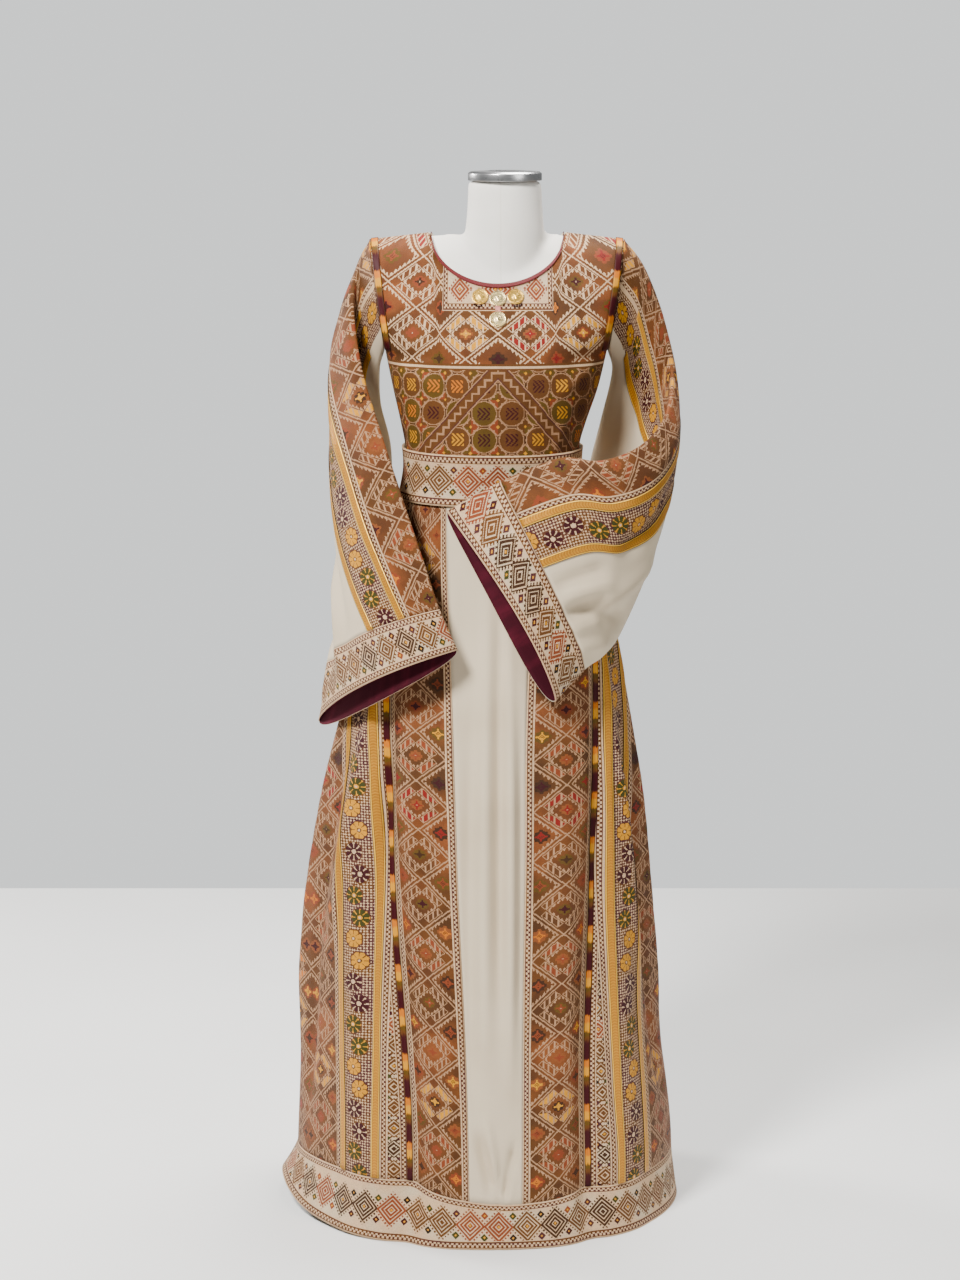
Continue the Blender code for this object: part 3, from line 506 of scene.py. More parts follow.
def sleeveSection(side, station, name):
    key = (side, name)
    if key not in sectionCache:
        values = [row[sleeveColumns.index(name)] for row in sleeveRows[side]]
        isPlace = name in ("over", "middle", "under")
        sectionCache[key] = list(zip(*values)) if isPlace else [values]
    stations = range(len(sleeveRows[side]))
    parts = [smoothValue(stations, values, station) for values in sectionCache[key]]
    return parts[0] if len(parts) == 1 else Vector(parts)


def acrossSleeve(side, station, share):
    over = sleeveSection(side, station, "over")
    middle = sleeveSection(side, station, "middle")
    under = sleeveSection(side, station, "under")
    point = (over * (1 - share) * (1 - 2 * share) + middle * 4 * share * (1 - share)
             + under * share * (2 * share - 1))
    slope = over * (4 * share - 3) + middle * (4 - 8 * share) + under * (4 * share - 1)
    return point, slope.normalized()


def sleeveWidth(side, station):
    middle = sleeveSection(side, station, "middle")
    return ((sleeveSection(side, station, "over") - middle).length
            + (middle - sleeveSection(side, station, "under")).length)


def sleevePush(side, face, station, share):
    # Face 1 is the left sleeve's outer face, and the right sleeve's face next to the body
    shown = "front" if face == -signOf(side) else "back"
    depth = creases["sleeve" + shown.capitalize()]
    along, across = creases["station"], creases["sleeveWidth"]
    push = 0.0
    for row in sleeveCreases[side]:
        crease = dict(zip(sleeveCreaseColumns, row))
        if crease["face"] == shown:
            push += depth * crease["rise"] * alongCrease(
                station * along, share * across, crease["station"] * along,
                crease["share"] * across, crease["toStation"] * along,
                crease["toShare"] * across, crease["spread"])
    return push * ease(station / 0.8)


def sleevePoint(side, station, face, share, inset):
    point, across = acrossSleeve(side, station, share)
    ahead = min(station + 0.05, len(sleeveRows[side]) - 1)
    behind = max(ahead - 0.10, 0.0)
    along = (acrossSleeve(side, ahead, share)[0]
             - acrossSleeve(side, behind, share)[0]).normalized()
    armholeOutward = Vector((0.0, -signOf(side), 0.0))
    hang = ease(station / cloth["sleeveTurn"])
    outward = armholeOutward.lerp(across.cross(along).normalized(), hang).normalized()
    puff = sleeveSection(side, station, "puff")
    bulge = 2 * math.sqrt(max(share * (1 - share), 0.0))
    if face == signOf(side):
        puff *= sleeveSection(side, station, "tuck")
        point += along * sleeveSection(side, station, "lag") * bulge
    point += outward * face * (puff + sleevePush(side, face, station, share) - inset) * bulge
    point += across * inset * (1 - 2 * share)
    if station == 0:
        point.x += math.copysign(cloth["armholeGap"], point.x)
    return point


# Making a sheet of cloth from a grid of points
def cutSize(rows):
    # Longest row, longest column and whole area of the sheet laid flat
    widths = [sum((b - a).length for a, b in zip(row, row[1:])) for row in rows]
    columns = list(zip(*rows))
    lengths = [sum((b - a).length for a, b in zip(column, column[1:])) for column in columns]
    area = 0.0
    for low, high in zip(rows, rows[1:]):
        for k in range(len(low) - 1):
            area += (low[k + 1] - low[k]).cross(high[k] - low[k]).length / 2
            area += (high[k + 1] - low[k + 1]).cross(high[k + 1] - high[k]).length / 2
    return max(widths), max(lengths), area


def addObject(name, data):
    item = bpy.data.objects.new(name, data)
    bpy.context.scene.collection.objects.link(item)
    return item


def makeSheet(name, surface, places, finish, wall, maps, rise=0.0, ring=False):
    # surface(place, inset) gives a point for each place in the rows of places. A ring's last
    # place repeats its first, so that the map has its own seam. A map is a table or a function
    # that makes one from the rows of points
    rows = [[surface(place, -rise) for place in row] for row in places]
    cells = len(rows[0])
    used = cells - 1 if ring else cells
    points = [point for row in rows for point in row[:used]]
    faces, corners = [], []
    for i in range(len(rows) - 1):
        for j in range(cells - 1):
            k = (j + 1) % used
            faces.append((i * used + j, i * used + k, (i + 1) * used + k, (i + 1) * used + j))
            corners.append(((i, j), (i, j + 1), (i + 1, j + 1), (i + 1, j)))
    i, j = len(rows) // 2, cells // 2
    outward = rows[i][j] - surface(places[i][j], 0.002 - rise)
    normal = (rows[i][j + 1 if j + 1 < cells else j] - rows[i][j - 1]).cross(
        rows[min(i + 1, len(rows) - 1)][j] - rows[max(i - 1, 0)][j])
    if normal.dot(outward) < 0:
        faces = [tuple(reversed(face)) for face in faces]
        corners = [tuple(reversed(corner)) for corner in corners]
    mesh = bpy.data.meshes.new(name)
    mesh.from_pydata([tuple(point) for point in points], [], faces)
    for mapName, values in maps.items():
        values = values(rows) if callable(values) else values
        layer = mesh.uv_layers.new(name=mapName)
        for loop, (i, j) in zip(layer.data, [place for corner in corners for place in corner]):
            loop.uv = values[i][j]
    for material in finish:
        mesh.materials.append(material)
    mesh.shade_smooth()
    piece = addObject(name, mesh)
    solid = piece.modifiers.new("Wall", "SOLIDIFY")
    solid.thickness = wall
    solid.offset = -1.0
    if len(finish) > 1:
        solid.material_offset = 1
    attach(piece, "root")
    return piece, rows


def declareSheet(piece, rows):
    width, length, area = cutSize(rows)
    share = area / (width * length)
    None if share > 0.97 else area
    print("cut of %s: %.0f x %.0f mm, %.4f m2" % (piece.name, width * 1e3, length * 1e3, area))


def arcAlong(points):
    lengths = [0.0]
    for a, b in zip(points, points[1:]):
        lengths.append(lengths[-1] + (b - a).length)
    return lengths


def spread(first, last, count):
    return [first + (last - first) * k / count for k in range(count + 1)]


def gridOf(columns, levels):
    return [[(column, level) for column in columns] for level in levels]


# Thread and cloth colours, as seen in plain light
dyes = {
    "cream": (0.56, 0.43, 0.28), "pinkCream": (0.58, 0.38, 0.22), "palePink": (0.34, 0.18, 0.09),
    "brown": (0.105, 0.036, 0.006), "darkBrown": (0.038, 0.013, 0.003),
    "terracotta": (0.205, 0.056, 0.012), "rust": (0.200, 0.038, 0.010),
    "olive": (0.090, 0.046, 0.004), "orange": (0.480, 0.130, 0.007), "red": (0.200, 0.009, 0.005),
    "gold": (0.560, 0.240, 0.009), "burgundy": (0.036, 0.002, 0.004),
    "green": (0.036, 0.036, 0.004), "plum": (0.060, 0.014, 0.016), "black": (0.010, 0.005, 0.004),
}


def mathMethod(operation):
    return lambda self, *others: self.use(operation, *others)


class Wire:
    # A number inside a node tree, so that a pattern reads as plain sums
    def __init__(self, tree, socket):
        self.tree = tree
        self.socket = socket

    def use(self, operation, *others):
        node = self.tree.nodes.new("ShaderNodeMath")
        node.operation = operation
        for value, socket in zip((self,) + others, node.inputs):
            plug(value, socket)
        return Wire(self.tree, node.outputs[0])

    __add__ = __radd__ = mathMethod("ADD")
    __sub__ = mathMethod("SUBTRACT")
    __mul__ = __rmul__ = __and__ = mathMethod("MULTIPLY")
    __truediv__ = mathMethod("DIVIDE")
    __lt__ = mathMethod("LESS_THAN")
    __gt__ = mathMethod("GREATER_THAN")
    __or__ = mathMethod("MAXIMUM")
    __abs__ = mathMethod("ABSOLUTE")
    fract = mathMethod("FRACT")
    floor = mathMethod("FLOOR")
    round = mathMethod("ROUND")
    least = mathMethod("MINIMUM")
    sine = mathMethod("SINE")

    def __rsub__(self, other):
        return self.use("MULTIPLY_ADD", -1.0, other)

    def between(self, low, high):
        return (self > low) & (self < high)

    def fade(self, low, high):
        # 0 below low, 1 above high, soft between
        node = self.tree.nodes.new("ShaderNodeMapRange")
        node.interpolation_type = "SMOOTHSTEP"
        plug(self, node.inputs["Value"])
        plug(low, node.inputs["From Min"])
        plug(high, node.inputs["From Max"])
        return Wire(self.tree, node.outputs["Result"])


def plug(value, socket):
    # A wire, the name of a dye, a colour or a number
    if isinstance(value, Wire):
        value.tree.links.new(value.socket, socket)
    else:
        value = dyes[value] if isinstance(value, str) else value
        socket.default_value = value + (1.0,) if isinstance(value, tuple) else value


def paint(under, over, mask):
    node = mask.tree.nodes.new("ShaderNodeMix")
    node.data_type = "RGBA"
    for value, place in ((mask, 0), (under, 6), (over, 7)):
        plug(value, node.inputs[place])
    return Wire(mask.tree, node.outputs[2])


def layered(color, *layers):
    # Each layer is a colour and the mask where it covers what lies under it
    for over, mask in layers:
        color = paint(color, over, mask)
    return color


def pick(value, *names):
    # One dye out of several for a number from 0 to 1
    node = value.tree.nodes.new("ShaderNodeValToRGB")
    node.color_ramp.interpolation = "CONSTANT"
    stops = node.color_ramp.elements
    stops.remove(stops[1])
    stops[0].color = dyes[names[0]] + (1.0,)
    for k, name in enumerate(names[1:], 1):
        stops.new(k / len(names)).color = dyes[name] + (1.0,)
    plug(value, node.inputs[0])
    return Wire(value.tree, node.outputs[0])


def textureOf(kind, output, place, **settings):
    tree = place[0].tree
    join = tree.nodes.new("ShaderNodeCombineXYZ")
    for value, socket in zip(place, join.inputs):
        plug(value, socket)
    texture = tree.nodes.new(kind)
    for label, value in settings.items():
        texture.inputs[label].default_value = value
    tree.links.new(join.outputs[0], texture.inputs["Vector"])
    return Wire(tree, texture.outputs[output])


def randomOf(x, y, seed=0.0):
    return textureOf("ShaderNodeTexWhiteNoise", "Value", (x, y, seed))


def cloudOf(x, y, size, detail=2.0):
    return textureOf("ShaderNodeTexNoise", "Fac", (x, y), Scale=1.0 / size, Detail=detail)


def nodeGroup(inputs, outputs="Color"):
    # Builds a group of nodes from a pattern; the pattern's name then places that group
    def build(pattern):
        name = pattern.__name__
        tree = bpy.data.node_groups.new(name, "ShaderNodeTree")
        for labels, way in ((inputs, "INPUT"), (outputs, "OUTPUT")):
            for label in labels.split():
                kind = "NodeSocketColor" if label == "Color" else "NodeSocketFloat"
                tree.interface.new_socket(label, in_out=way, socket_type=kind)
        entry, leave = tree.nodes.new("NodeGroupInput"), tree.nodes.new("NodeGroupOutput")
        found = pattern(*[Wire(tree, entry.outputs[label]) for label in inputs.split()])
        for value, socket in zip(found if isinstance(found, tuple) else (found,), leave.inputs):
            plug(value, socket)

        def placeGroup(*values):
            home = values[0].tree
            node = home.nodes.new("ShaderNodeGroup")
            node.node_tree = bpy.data.node_groups[name]
            for value, socket in zip(values, node.inputs):
                plug(value, socket)
            wires = [Wire(home, socket) for socket in node.outputs]
            return wires[0] if len(wires) == 1 else wires
        return placeGroup
    return build


# Cross stitches: the place of each stitch, the relief of its crossed threads and a draw
@nodeGroup("Across Along Stitch", "Across Along Relief Draw")
def crossStitches(x, y, stitch):
    column, row = (x / stitch).floor(), (y / stitch).floor()
    sideways, upwards = (x / stitch).fract() - 0.5, (y / stitch).fract() - 0.5
    rising, falling = abs(sideways - upwards) / 0.44, abs(sideways + upwards) / 0.44
    upper = (1.0 - rising * rising) | 0.0
    under = ((1.0 - falling * falling) | 0.0) * 0.7
    return (column + 0.5) * stitch, (row + 0.5) * stitch, upper | under, randomOf(column, row)


# Large diamonds: rings of hatched leaves about a flower, and combed diamonds between
@nodeGroup("Across Along Width Height Aside")
def diamondLattice(x, y, width, height, aside):
    rising, falling = x / width + y / height, x / width - y / height
    cellA, cellB = rising.round(), falling.round()
    a, b = rising - cellA, falling - cellB
    edge, inner = abs(a) | abs(b), abs(a).least(abs(b))
    between = ((cellA + cellB) * 0.5).fract() > 0.25
    across, along = abs((a + b) * 0.5), abs((a - b) * 0.5)
    draw = randomOf(cellA, cellB)
    accent = pick(draw, "rust", "red", "darkBrown", "burgundy", "gold", "red", "rust", "orange")
    middle = pick(randomOf(cellA, cellB, 3.0), "terracotta", "rust", "darkBrown", "terracotta",
                  "olive", "rust")
    light = paint("pinkCream", "palePink", (width < 0.085) * 0.85)
    thread = paint("brown", "terracotta", cloudOf(x, y, 0.16).fade(0.42, 0.62))
    dark = paint(thread, "darkBrown", cloudOf(x, y, 0.05).fade(0.35, 0.65) * 0.6)
    # Ring: four outlined leaves with upright bars about a diamond with toothed edges
    bars = (across / 0.092 + 0.22).fract()
    leaf = edge.between(0.290, 0.454) & (inner < 0.266)
    tooth = abs(((a + b) * 8.0).fract() - 0.5) * 2.0
    lines = (leaf & (bars < 0.30)) | (((edge - 0.206) / 0.058 > tooth) & (edge < 0.268))
    outline = leaf & ((edge < 0.305) | (edge > 0.439) | (inner > 0.250))
    square, slant, thin = across | along, across + along, across.least(along)
    flower = (square < 0.080) | (slant < 0.118) | ((thin < 0.030) & (square < 0.112))
    ring = layered(dark, (accent, leaf & (bars > 0.30) & (draw > 0.50) & (along > 0.10)),
                   (light, lines | outline | (edge > 0.484)), (middle, flower & (edge < 0.21)),
                   (accent, (slant < 0.062) | ((thin < 0.014) & (square < 0.082))),
                   (light, slant < 0.012))
    # Diamond between the rings: a comb of teeth inside its outline, and a stepped flower
    off = abs(across - aside)
    spot, wide, narrow = off + along, off | along, off.least(along)
    bloom = (wide < 0.096) | (spot < 0.150) | ((narrow < 0.034) & (wide < 0.140))
    diamond = layered(dark, (light, ((edge - 0.345) / 0.070 > tooth) & (edge < 0.428)),
                      (light, edge > 0.484), (middle, bloom & (edge < 0.38)),
                      (accent, (spot < 0.078) | ((narrow < 0.018) & (wide < 0.100))),
                      ("darkBrown", spot.between(0.030, 0.040) | (spot < 0.012)))
    return paint(ring, diamond, between)


# Nested diamonds in a row on a light ground, with small flowers above and below
@nodeGroup("Across Along Repeat Reach")
def nestedDiamonds(x, y, repeat, reach):
    cell = (x / repeat).round()
    across, along = abs(x - cell * repeat), abs(y)
    slant = across + along
    thread = pick(randomOf(cell, 2.0), "brown", "rust", "darkBrown", "brown", "rust")
    ground = paint("cream", "pinkCream", cloudOf(x, y, 0.05).fade(0.35, 0.60))
    rings = (slant < reach) & (((slant + 0.0004) / 0.0060).fract() < 0.72)
    hook = (((across - along) / 0.0072).fract() < 0.5) & (slant > reach) & (slant < reach + 0.0040)
    petal = abs(across - repeat * 0.5) + abs(along - reach * 0.66)
    bloom = pick(randomOf((x / repeat).floor(), y > 0.0),
                 "burgundy", "green", "plum", "black", "rust")
    return layered(ground, (thread, rings), (thread, hook),
                   ("gold", (slant < 0.0022) & (randomOf(cell, 5.0) > 0.5)),
                   (bloom, petal < 0.0058), ("gold", petal < 0.0018))


# Narrow strip that edges every panel: two rows of light blocks on dark between fine lines
@nodeGroup("Share Along")
def blockStrip(share, along):
    line = (share < 0.14) | (share > 0.86)
    first = share.between(0.26, 0.50) & ((along / 0.0064).fract() < 0.5)
    second = share.between(0.50, 0.74) & ((along / 0.0064 + 0.5).fract() < 0.5)
    thread = paint("brown", "plum", cloudOf(along, share, 0.07).fade(0.42, 0.62))
    return paint(thread, "pinkCream", line | first | second)


# Eight-petalled flowers, two by two in one colour, on a dark ground with light dots
@nodeGroup("Across Along")
def flowerBand(x, y):
    row = (y / 0.031).floor()
    along = y - (row + 0.5) * 0.031
    across = x - ((row * 0.5).fract() - 0.25) * 0.018
    reach = (across * across + along * along).use("SQRT")
    turn = abs((along.use("ARCTAN2", across) * (8 / (2 * math.pi))).fract() - 0.5)
    group = ((row * 0.5).floor() / 3.0 + 0.17).fract()
    bloom = pick(group, "gold", "green", "burgundy")
    gap = pick(group, "brown", "gold", "pinkCream")
    thread = paint("plum", "brown", cloudOf(x, y, 0.04).fade(0.40, 0.60))
    spot = (abs((x / 0.0040).fract() - 0.5) + abs((y / 0.0040).fract() - 0.5)) < 0.42
    return layered(thread, ("pinkCream", spot), (thread, reach < 0.0140),
                   (gap, (reach < 0.0126) & (turn > 0.36)),
                   (bloom, (reach < 0.0126 - turn * turn * 0.010) & (turn < 0.41)),
                   (bloom, reach < 0.0058), (gap, reach < 0.0034), ("pinkCream", reach < 0.0018))


# Round medallions two by two, with chevrons, and a stepped band that frames the middle ones
@nodeGroup("Across Height")
def medallionField(x, z):
    wide, tall, level = 0.039, 0.038, 1.212
    aside = abs(x)
    column, row = ((aside - wide / 2) / wide).round(), ((level - z) / tall).round()
    across, along = aside - wide / 2 - column * wide, z - level + row * tall
    reach = (across * across + along * along).use("SQRT")
    draw = randomOf((x / wide).floor(), row)
    # Stars in the gaps between four medallions
    gapAcross, gapAlong = abs(abs(across) - wide / 2), abs(abs(along) - tall / 2)
    star, cross = gapAcross + gapAlong, gapAcross.least(gapAlong)
    lit = paint(pick(draw, "gold", "orange", "gold", "orange", "gold"), "burgundy",
                (aside < 0.045) | draw.between(0.4, 0.6))
    chevron = ((x - (x / wide).floor() * wide - wide / 2 + abs(along)) / 0.0066).fract() < 0.5
    disc = paint(paint("brown", "olive", draw > 0.6), lit,
                 chevron & (abs(along) < 0.0088) & (abs(across) < 0.0088))
    # The band falls away from the middle on both sides, with steps between its two lines
    drop = (1.2365 - z) * 0.92
    slope = abs(aside - drop)
    outer, under = [((aside + d) / 0.0090).floor() * 0.0090 + 0.0045 + d > drop
                    for d in (0.0013, -0.0013)]
    return layered(paint("brown", "darkBrown", cloudOf(x, z, 0.03).fade(0.4, 0.6)),
                   ("palePink", star < 0.0135),
                   (pick(draw, "olive", "brown", "rust"), (star < 0.0115) & (cross < 0.0042)),
                   ("gold", star < 0.0026), ("palePink", reach < 0.0184), (disc, reach < 0.0170),
                   ("brown", slope < 0.0160), ("palePink", slope.between(0.0128, 0.0150)),
                   ("plum", slope.between(0.0108, 0.0128)),
                   ("palePink", outer & (1.0 - under) & (slope < 0.0110)))


# Thread shading: each stitch a little lighter or darker at random, with painted shade in the dips
# between the crossed threads, faded in places
@nodeGroup("Color Relief Draw Across Along", "Color Roughness")
def threadToneAndShade(color, relief, draw, x, y):
    # The relief term is painted shade: low places between the crossed threads are darker, high thread
    # tops lighter
    shade = (draw - 0.5) * 0.26 + relief * 0.24 + 0.80
    shade = shade + (cloudOf(x, y, 0.045, 3.0) - 0.5) * 0.30
    scale = color.tree.nodes.new("ShaderNodeVectorMath")
    scale.operation = "SCALE"
    plug(color, scale.inputs[0])
    plug(shade, scale.inputs["Scale"])
    return Wire(color.tree, scale.outputs[0]), 0.74 - relief * 0.16 + (draw - 0.5) * 0.08


# Plain woven cloth: fine warp and weft with slubs, and its faint unevenness
@nodeGroup("Across Along Thread", "Relief Slub Soil")
def plainWeave(x, y, thread):
    warp, weft = [(place / thread * math.pi).sine() for place in (x, y)]
    slub = cloudOf(x * 7.0, y, 0.012) * 0.5 + cloudOf(x, y * 7.0, 0.012) * 0.5
    return warp * weft * 0.5 + 0.5, slub, cloudOf(x, y, 0.16, 3.0)


print("pattern groups made")


# Materials
def startMaterial(name, rough, metal=0.0, sheen=0.0, sheenTint=(1.0, 1.0, 1.0), gloss=0.5):
    material = bpy.data.materials.new(name)
    material.use_nodes = True
    for label, value in (("Roughness", rough), ("Metallic", metal), ("Sheen Weight", sheen),
                         ("Sheen Roughness", 0.4), ("Sheen Tint", sheenTint),
                         ("Specular IOR Level", gloss)):
        plug(value, material.node_tree.nodes["Principled BSDF"].inputs[label])
    return material, material.node_tree


def setSurface(tree, color, rough=None, bump=None):
    # bump is a height, its strength and the metres that it stands for
    shader = tree.nodes["Principled BSDF"]
    plug(color, shader.inputs["Base Color"])
    if rough is not None:
        plug(rough, shader.inputs["Roughness"])
    if bump:
        node = tree.nodes.new("ShaderNodeBump")
        for label, value in zip(("Height", "Strength", "Distance"), bump):
            plug(value, node.inputs[label])
        tree.links.new(node.outputs[0], shader.inputs["Normal"])
    return shader


def splitPlace(tree, socket, count):
    split = tree.nodes.new("ShaderNodeSeparateXYZ")
    tree.links.new(socket, split.inputs[0])
    return [Wire(tree, split.outputs[k]) for k in range(count)]


def mapWires(tree, mapName="flat"):
    node = tree.nodes.new("ShaderNodeUVMap")
    node.uv_map = mapName
    return splitPlace(tree, node.outputs[0], 2)


def objectWires(tree):
    return splitPlace(tree, tree.nodes.new("ShaderNodeTexCoord").outputs["Object"], 3)


# A user would change the stitch, and how far the threads stand out
embroidery = {"stitch": 0.0011, "rough": 0.74, "sheen": 0.02, "bump": 0.6, "threadRise": 0.0006,
              "gloss": 0.18}


def embroideredMaterial(name, pattern, *mapNames):
    # pattern(place...) gives the colour at a stitch
    material, tree = startMaterial(name, embroidery["rough"], sheen=embroidery["sheen"],
                                   gloss=embroidery["gloss"])
    stitch = embroidery["stitch"]
    across, along, relief, draw = crossStitches(*mapWires(tree), stitch)
    others = [(mapWires(tree, label)[0] / stitch).floor() * stitch for label in mapNames]
    color, rough = threadToneAndShade(pattern(across, along, *others), relief, draw, across, along)
    setSurface(tree, color, rough,
               (relief + (draw - 0.5) * 0.4, embroidery["bump"], embroidery["threadRise"]))
    return material


def frontPanelPattern(x, y):
    # Strips down both edges of the panel and one column of diamonds between them
    field = diamondLattice(x, y, 0.078, 0.069, 0.120)
    return paint(field, blockStrip((0.049 - abs(x)) / 0.010, y), abs(x) > 0.039)


def gorePattern(x, y, fromSeam):
    # x is counted from the first gold ribbon, fromSeam from the striped silk
    return layered(nestedDiamonds(y, x + 0.024, 0.030, 0.014),
                   (blockStrip((fromSeam - 0.007) / 0.009, y), fromSeam < 0.016),
                   (blockStrip((x + 0.016) / 0.010, y), x.between(-0.016, -0.005)),
                   (flowerBand(x - 0.029, y), x > 0.0),
                   (blockStrip((x - 0.064) / 0.010, y), x > 0.063),
                   (diamondLattice(x - 0.113, y, 0.078, 0.070, 0.120), x > 0.074))


def edgedBand(x, middle, repeat, reach, fromLow, low, fromTop, high):
    # Nested diamonds between two block strips; low and high are the widths of the strips
    return layered(nestedDiamonds(x, middle, repeat, reach),
                   (blockStrip(fromLow / low, x), fromLow < low),
                   (blockStrip(fromTop / high, x), fromTop < high))


def hemPattern(x, y, fromTop):
    # y is counted up from the lower edge, fromTop down from the upper one
    return edgedBand(x, (y - fromTop) * 0.5, 0.041, 0.0232, y, 0.0125, fromTop, 0.0095)


def beltPattern(x, y):
    return edgedBand(x, y - 0.0355, 0.042, 0.0232, y, 0.0125, 0.072 - y, 0.0135)


def cuffPattern(x, y):
    return edgedBand(x, y - 0.029, 0.037, 0.0200, y, 0.0100, 0.058 - y, 0.0100)


def bodicePattern(x, z):
    # Square frame about the neckline, over the lattice of the chest and the medallions
    fromSide, fromLow = 0.087 - abs(x), z - 1.3155
    inside = fromSide.least(fromLow)
    flat = fromLow < fromSide
    along = x * flat + z * (1.0 - flat)
    collar = paint(nestedDiamonds(abs(x) - 0.056, z - 1.3445, 0.052, 0.017),
                   blockStrip(inside / 0.0115, along), inside < 0.0115)
    return layered(medallionField(x, z),
                   (diamondLattice(x + 0.046, z - 1.285, 0.092, 0.069), z > 1.240),
                   ("brown", abs(z - 1.2395) < 0.0044), ("pinkCream", abs(z - 1.2395) < 0.0018),
                   (collar, inside > 0.0))


def sleevePattern(x, y):
    # x is counted from the fold over the arm, y along the sleeve from the armhole
    return layered(diamondLattice(x - 0.010, y, 0.078, 0.072),
                   (blockStrip((x - 0.050) / 0.0095, y), x > 0.050),
                   (flowerBand(x - 0.095, y), x > 0.0655))


# A user would change the colour, the thread and the shine of the plain cloth
plainCloth = {"color": (0.580, 0.478, 0.340), "shade": (0.440, 0.352, 0.238), "thread": 0.0008,
              "rough": 0.62, "sheen": 0.06, "bump": 0.25, "gloss": 0.25}


def plainMaterial(name, settings):
    material, tree = startMaterial(name, settings["rough"], sheen=settings["sheen"],
                                   gloss=settings["gloss"])
    relief, slub, soil = plainWeave(*mapWires(tree), settings["thread"])
    color = paint(settings["color"], settings["shade"], soil.fade(0.40, 0.78) * 0.55 + slub * 0.16)
    setSurface(tree, color, settings["rough"] + (slub - 0.5) * 0.16,
               (relief * 0.6 + slub * 1.4, settings["bump"], 0.0004))
    return material


# Velvet facing inside the cuffs, its lighter patches a painted sheen on the brushed pile
velvet = {"color": (0.028, 0.002, 0.006), "light": (0.100, 0.008, 0.020), "rough": 0.85}


def velvetMaterial():
    material, tree = startMaterial("velvetFacing", velvet["rough"], 0.0, 0.25,
                                   (0.60, 0.10, 0.16), 0.12)
    x, y = mapWires(tree)
    pile = cloudOf(x, y, 0.0016)
    brushedSheen = cloudOf(x, y * 0.4, 0.030, 3.0)
    # The light colour laid over the brushed patches is painted sheen
    color = paint(velvet["color"], velvet["light"], brushedSheen.fade(0.45, 0.75) * 0.5 + pile * 0.25)
    setSurface(tree, color, bump=(pile + brushedSheen * 2.0, 0.4, 0.0006))
    return material


# Gold braid: chevrons of metal thread between two gold cords, whose bright colour is a painted
# highlight along them
braid = {"width": 0.013, "chevron": 0.0042, "dark": (0.340, 0.130, 0.008),
         "light": (0.520, 0.230, 0.016), "highlitCord": (0.760, 0.430, 0.050), "rough": 0.36}


def braidMaterial():
    material, tree = startMaterial("goldBraid", braid["rough"], gloss=0.35)
    x, y = mapWires(tree)
    across = abs(x / braid["width"] - 0.5) * 2.0
    chevron = ((y + across * 0.0032) / braid["chevron"]).fract()
    highlitCord, edge = across.between(0.70, 0.90), across > 0.93
    draw = randomOf((y / 0.0012).floor(), (across * 6.0).floor())
    # The bright cord colour is a painted highlight on the two raised cords
    color = layered(braid["dark"], (braid["light"], chevron.fade(0.25, 0.75) * 0.7 + draw * 0.3),
                    (braid["highlitCord"], highlitCord), ("darkBrown", edge | across.between(0.60, 0.66)))
    twist = ((y + x) / 0.0016).fract()
    height = highlitCord * (1.2 + twist * 0.5) + (1.0 - highlitCord) * chevron.fade(0.0, 0.5) * 0.9
    shader = setSurface(tree, color, braid["rough"] + draw * 0.22, (height, 0.6, 0.0006))
    plug((1.0 - edge) * 0.35, shader.inputs["Metallic"])
    return material


# Striped silk along the seams: burgundy and brown run into each other, with short gold bars
silk = {"repeat": 0.064, "width": 0.008, "rough": 0.42}


def silkMaterial():
    material, tree = startMaterial("stripedSilk", silk["rough"], gloss=0.14)
    x, y = mapWires(tree)
    blur = cloudOf(x * 6.0, y, 0.010) - 0.5
    place = ((y + blur * 0.010) / silk["repeat"]).fract()
    thread = (x / 0.0005 + blur).fract()
    color = layered("burgundy", ("brown", place.fade(0.24, 0.36)),
                    ("olive", place.between(0.40, 0.48)), ("gold", place.fade(0.48, 0.54)),
                    ("orange", place.fade(0.68, 0.74)), ("burgundy", place.fade(0.84, 0.90)),
                    ("darkBrown", (abs(x - silk["width"] / 2) > 0.0034) * 0.8))
    setSurface(tree, color, silk["rough"] + thread * 0.16, (thread, 0.25, 0.0002))
    return material


binding = {"color": (0.150, 0.014, 0.016), "dark": (0.060, 0.006, 0.008), "rough": 0.45}


def bindingMaterial():
    material, tree = startMaterial("neckBinding", binding["rough"], gloss=0.25)
    x, y = mapWires(tree)
    twist = ((x + y * 1.6) / 0.0018).fract()
    setSurface(tree, paint(binding["color"], binding["dark"], twist.fade(0.55, 0.95)),
               binding["rough"] + twist * 0.2, (1.0 - abs(twist - 0.5) * 2.0, 0.6, 0.0005))
    return material


# Worn gilt of the coins, and the plated metal of the stand
gilt = {"color": (0.830, 0.520, 0.110), "dull": (0.360, 0.190, 0.030), "rough": 0.26}
paleGilt = {"color": (0.880, 0.690, 0.330), "dull": (0.520, 0.370, 0.140), "rough": 0.24}
steel = {"color": (0.560, 0.560, 0.565), "dull": (0.360, 0.360, 0.370), "rough": 0.26}


def metalMaterial(name, settings, size):
    material, tree = startMaterial(name, settings["rough"], 1.0)
    x, y, z = objectWires(tree)
    across, up = x + y * 0.6, z + y * 0.8
    worn = cloudOf(across, up, size, 4.0)
    fine = cloudOf(across, up * 4.0, size * 0.12)
    color = paint(settings["color"], settings["dull"], worn.fade(0.45, 0.80) * 0.7 + fine * 0.12)
    setSurface(tree, color, worn * 0.22 + fine * 0.12 + (settings["rough"] - 0.14),
               (worn * 0.6 + fine * 0.5, 0.15, 0.0002))
    return material


# Jersey cover of the dress form, with fine knit ribs and one seam down the front
jersey = {"color": (0.800, 0.770, 0.710), "shade": (0.690, 0.650, 0.580), "rib": 0.0011,
          "rough": 0.72}


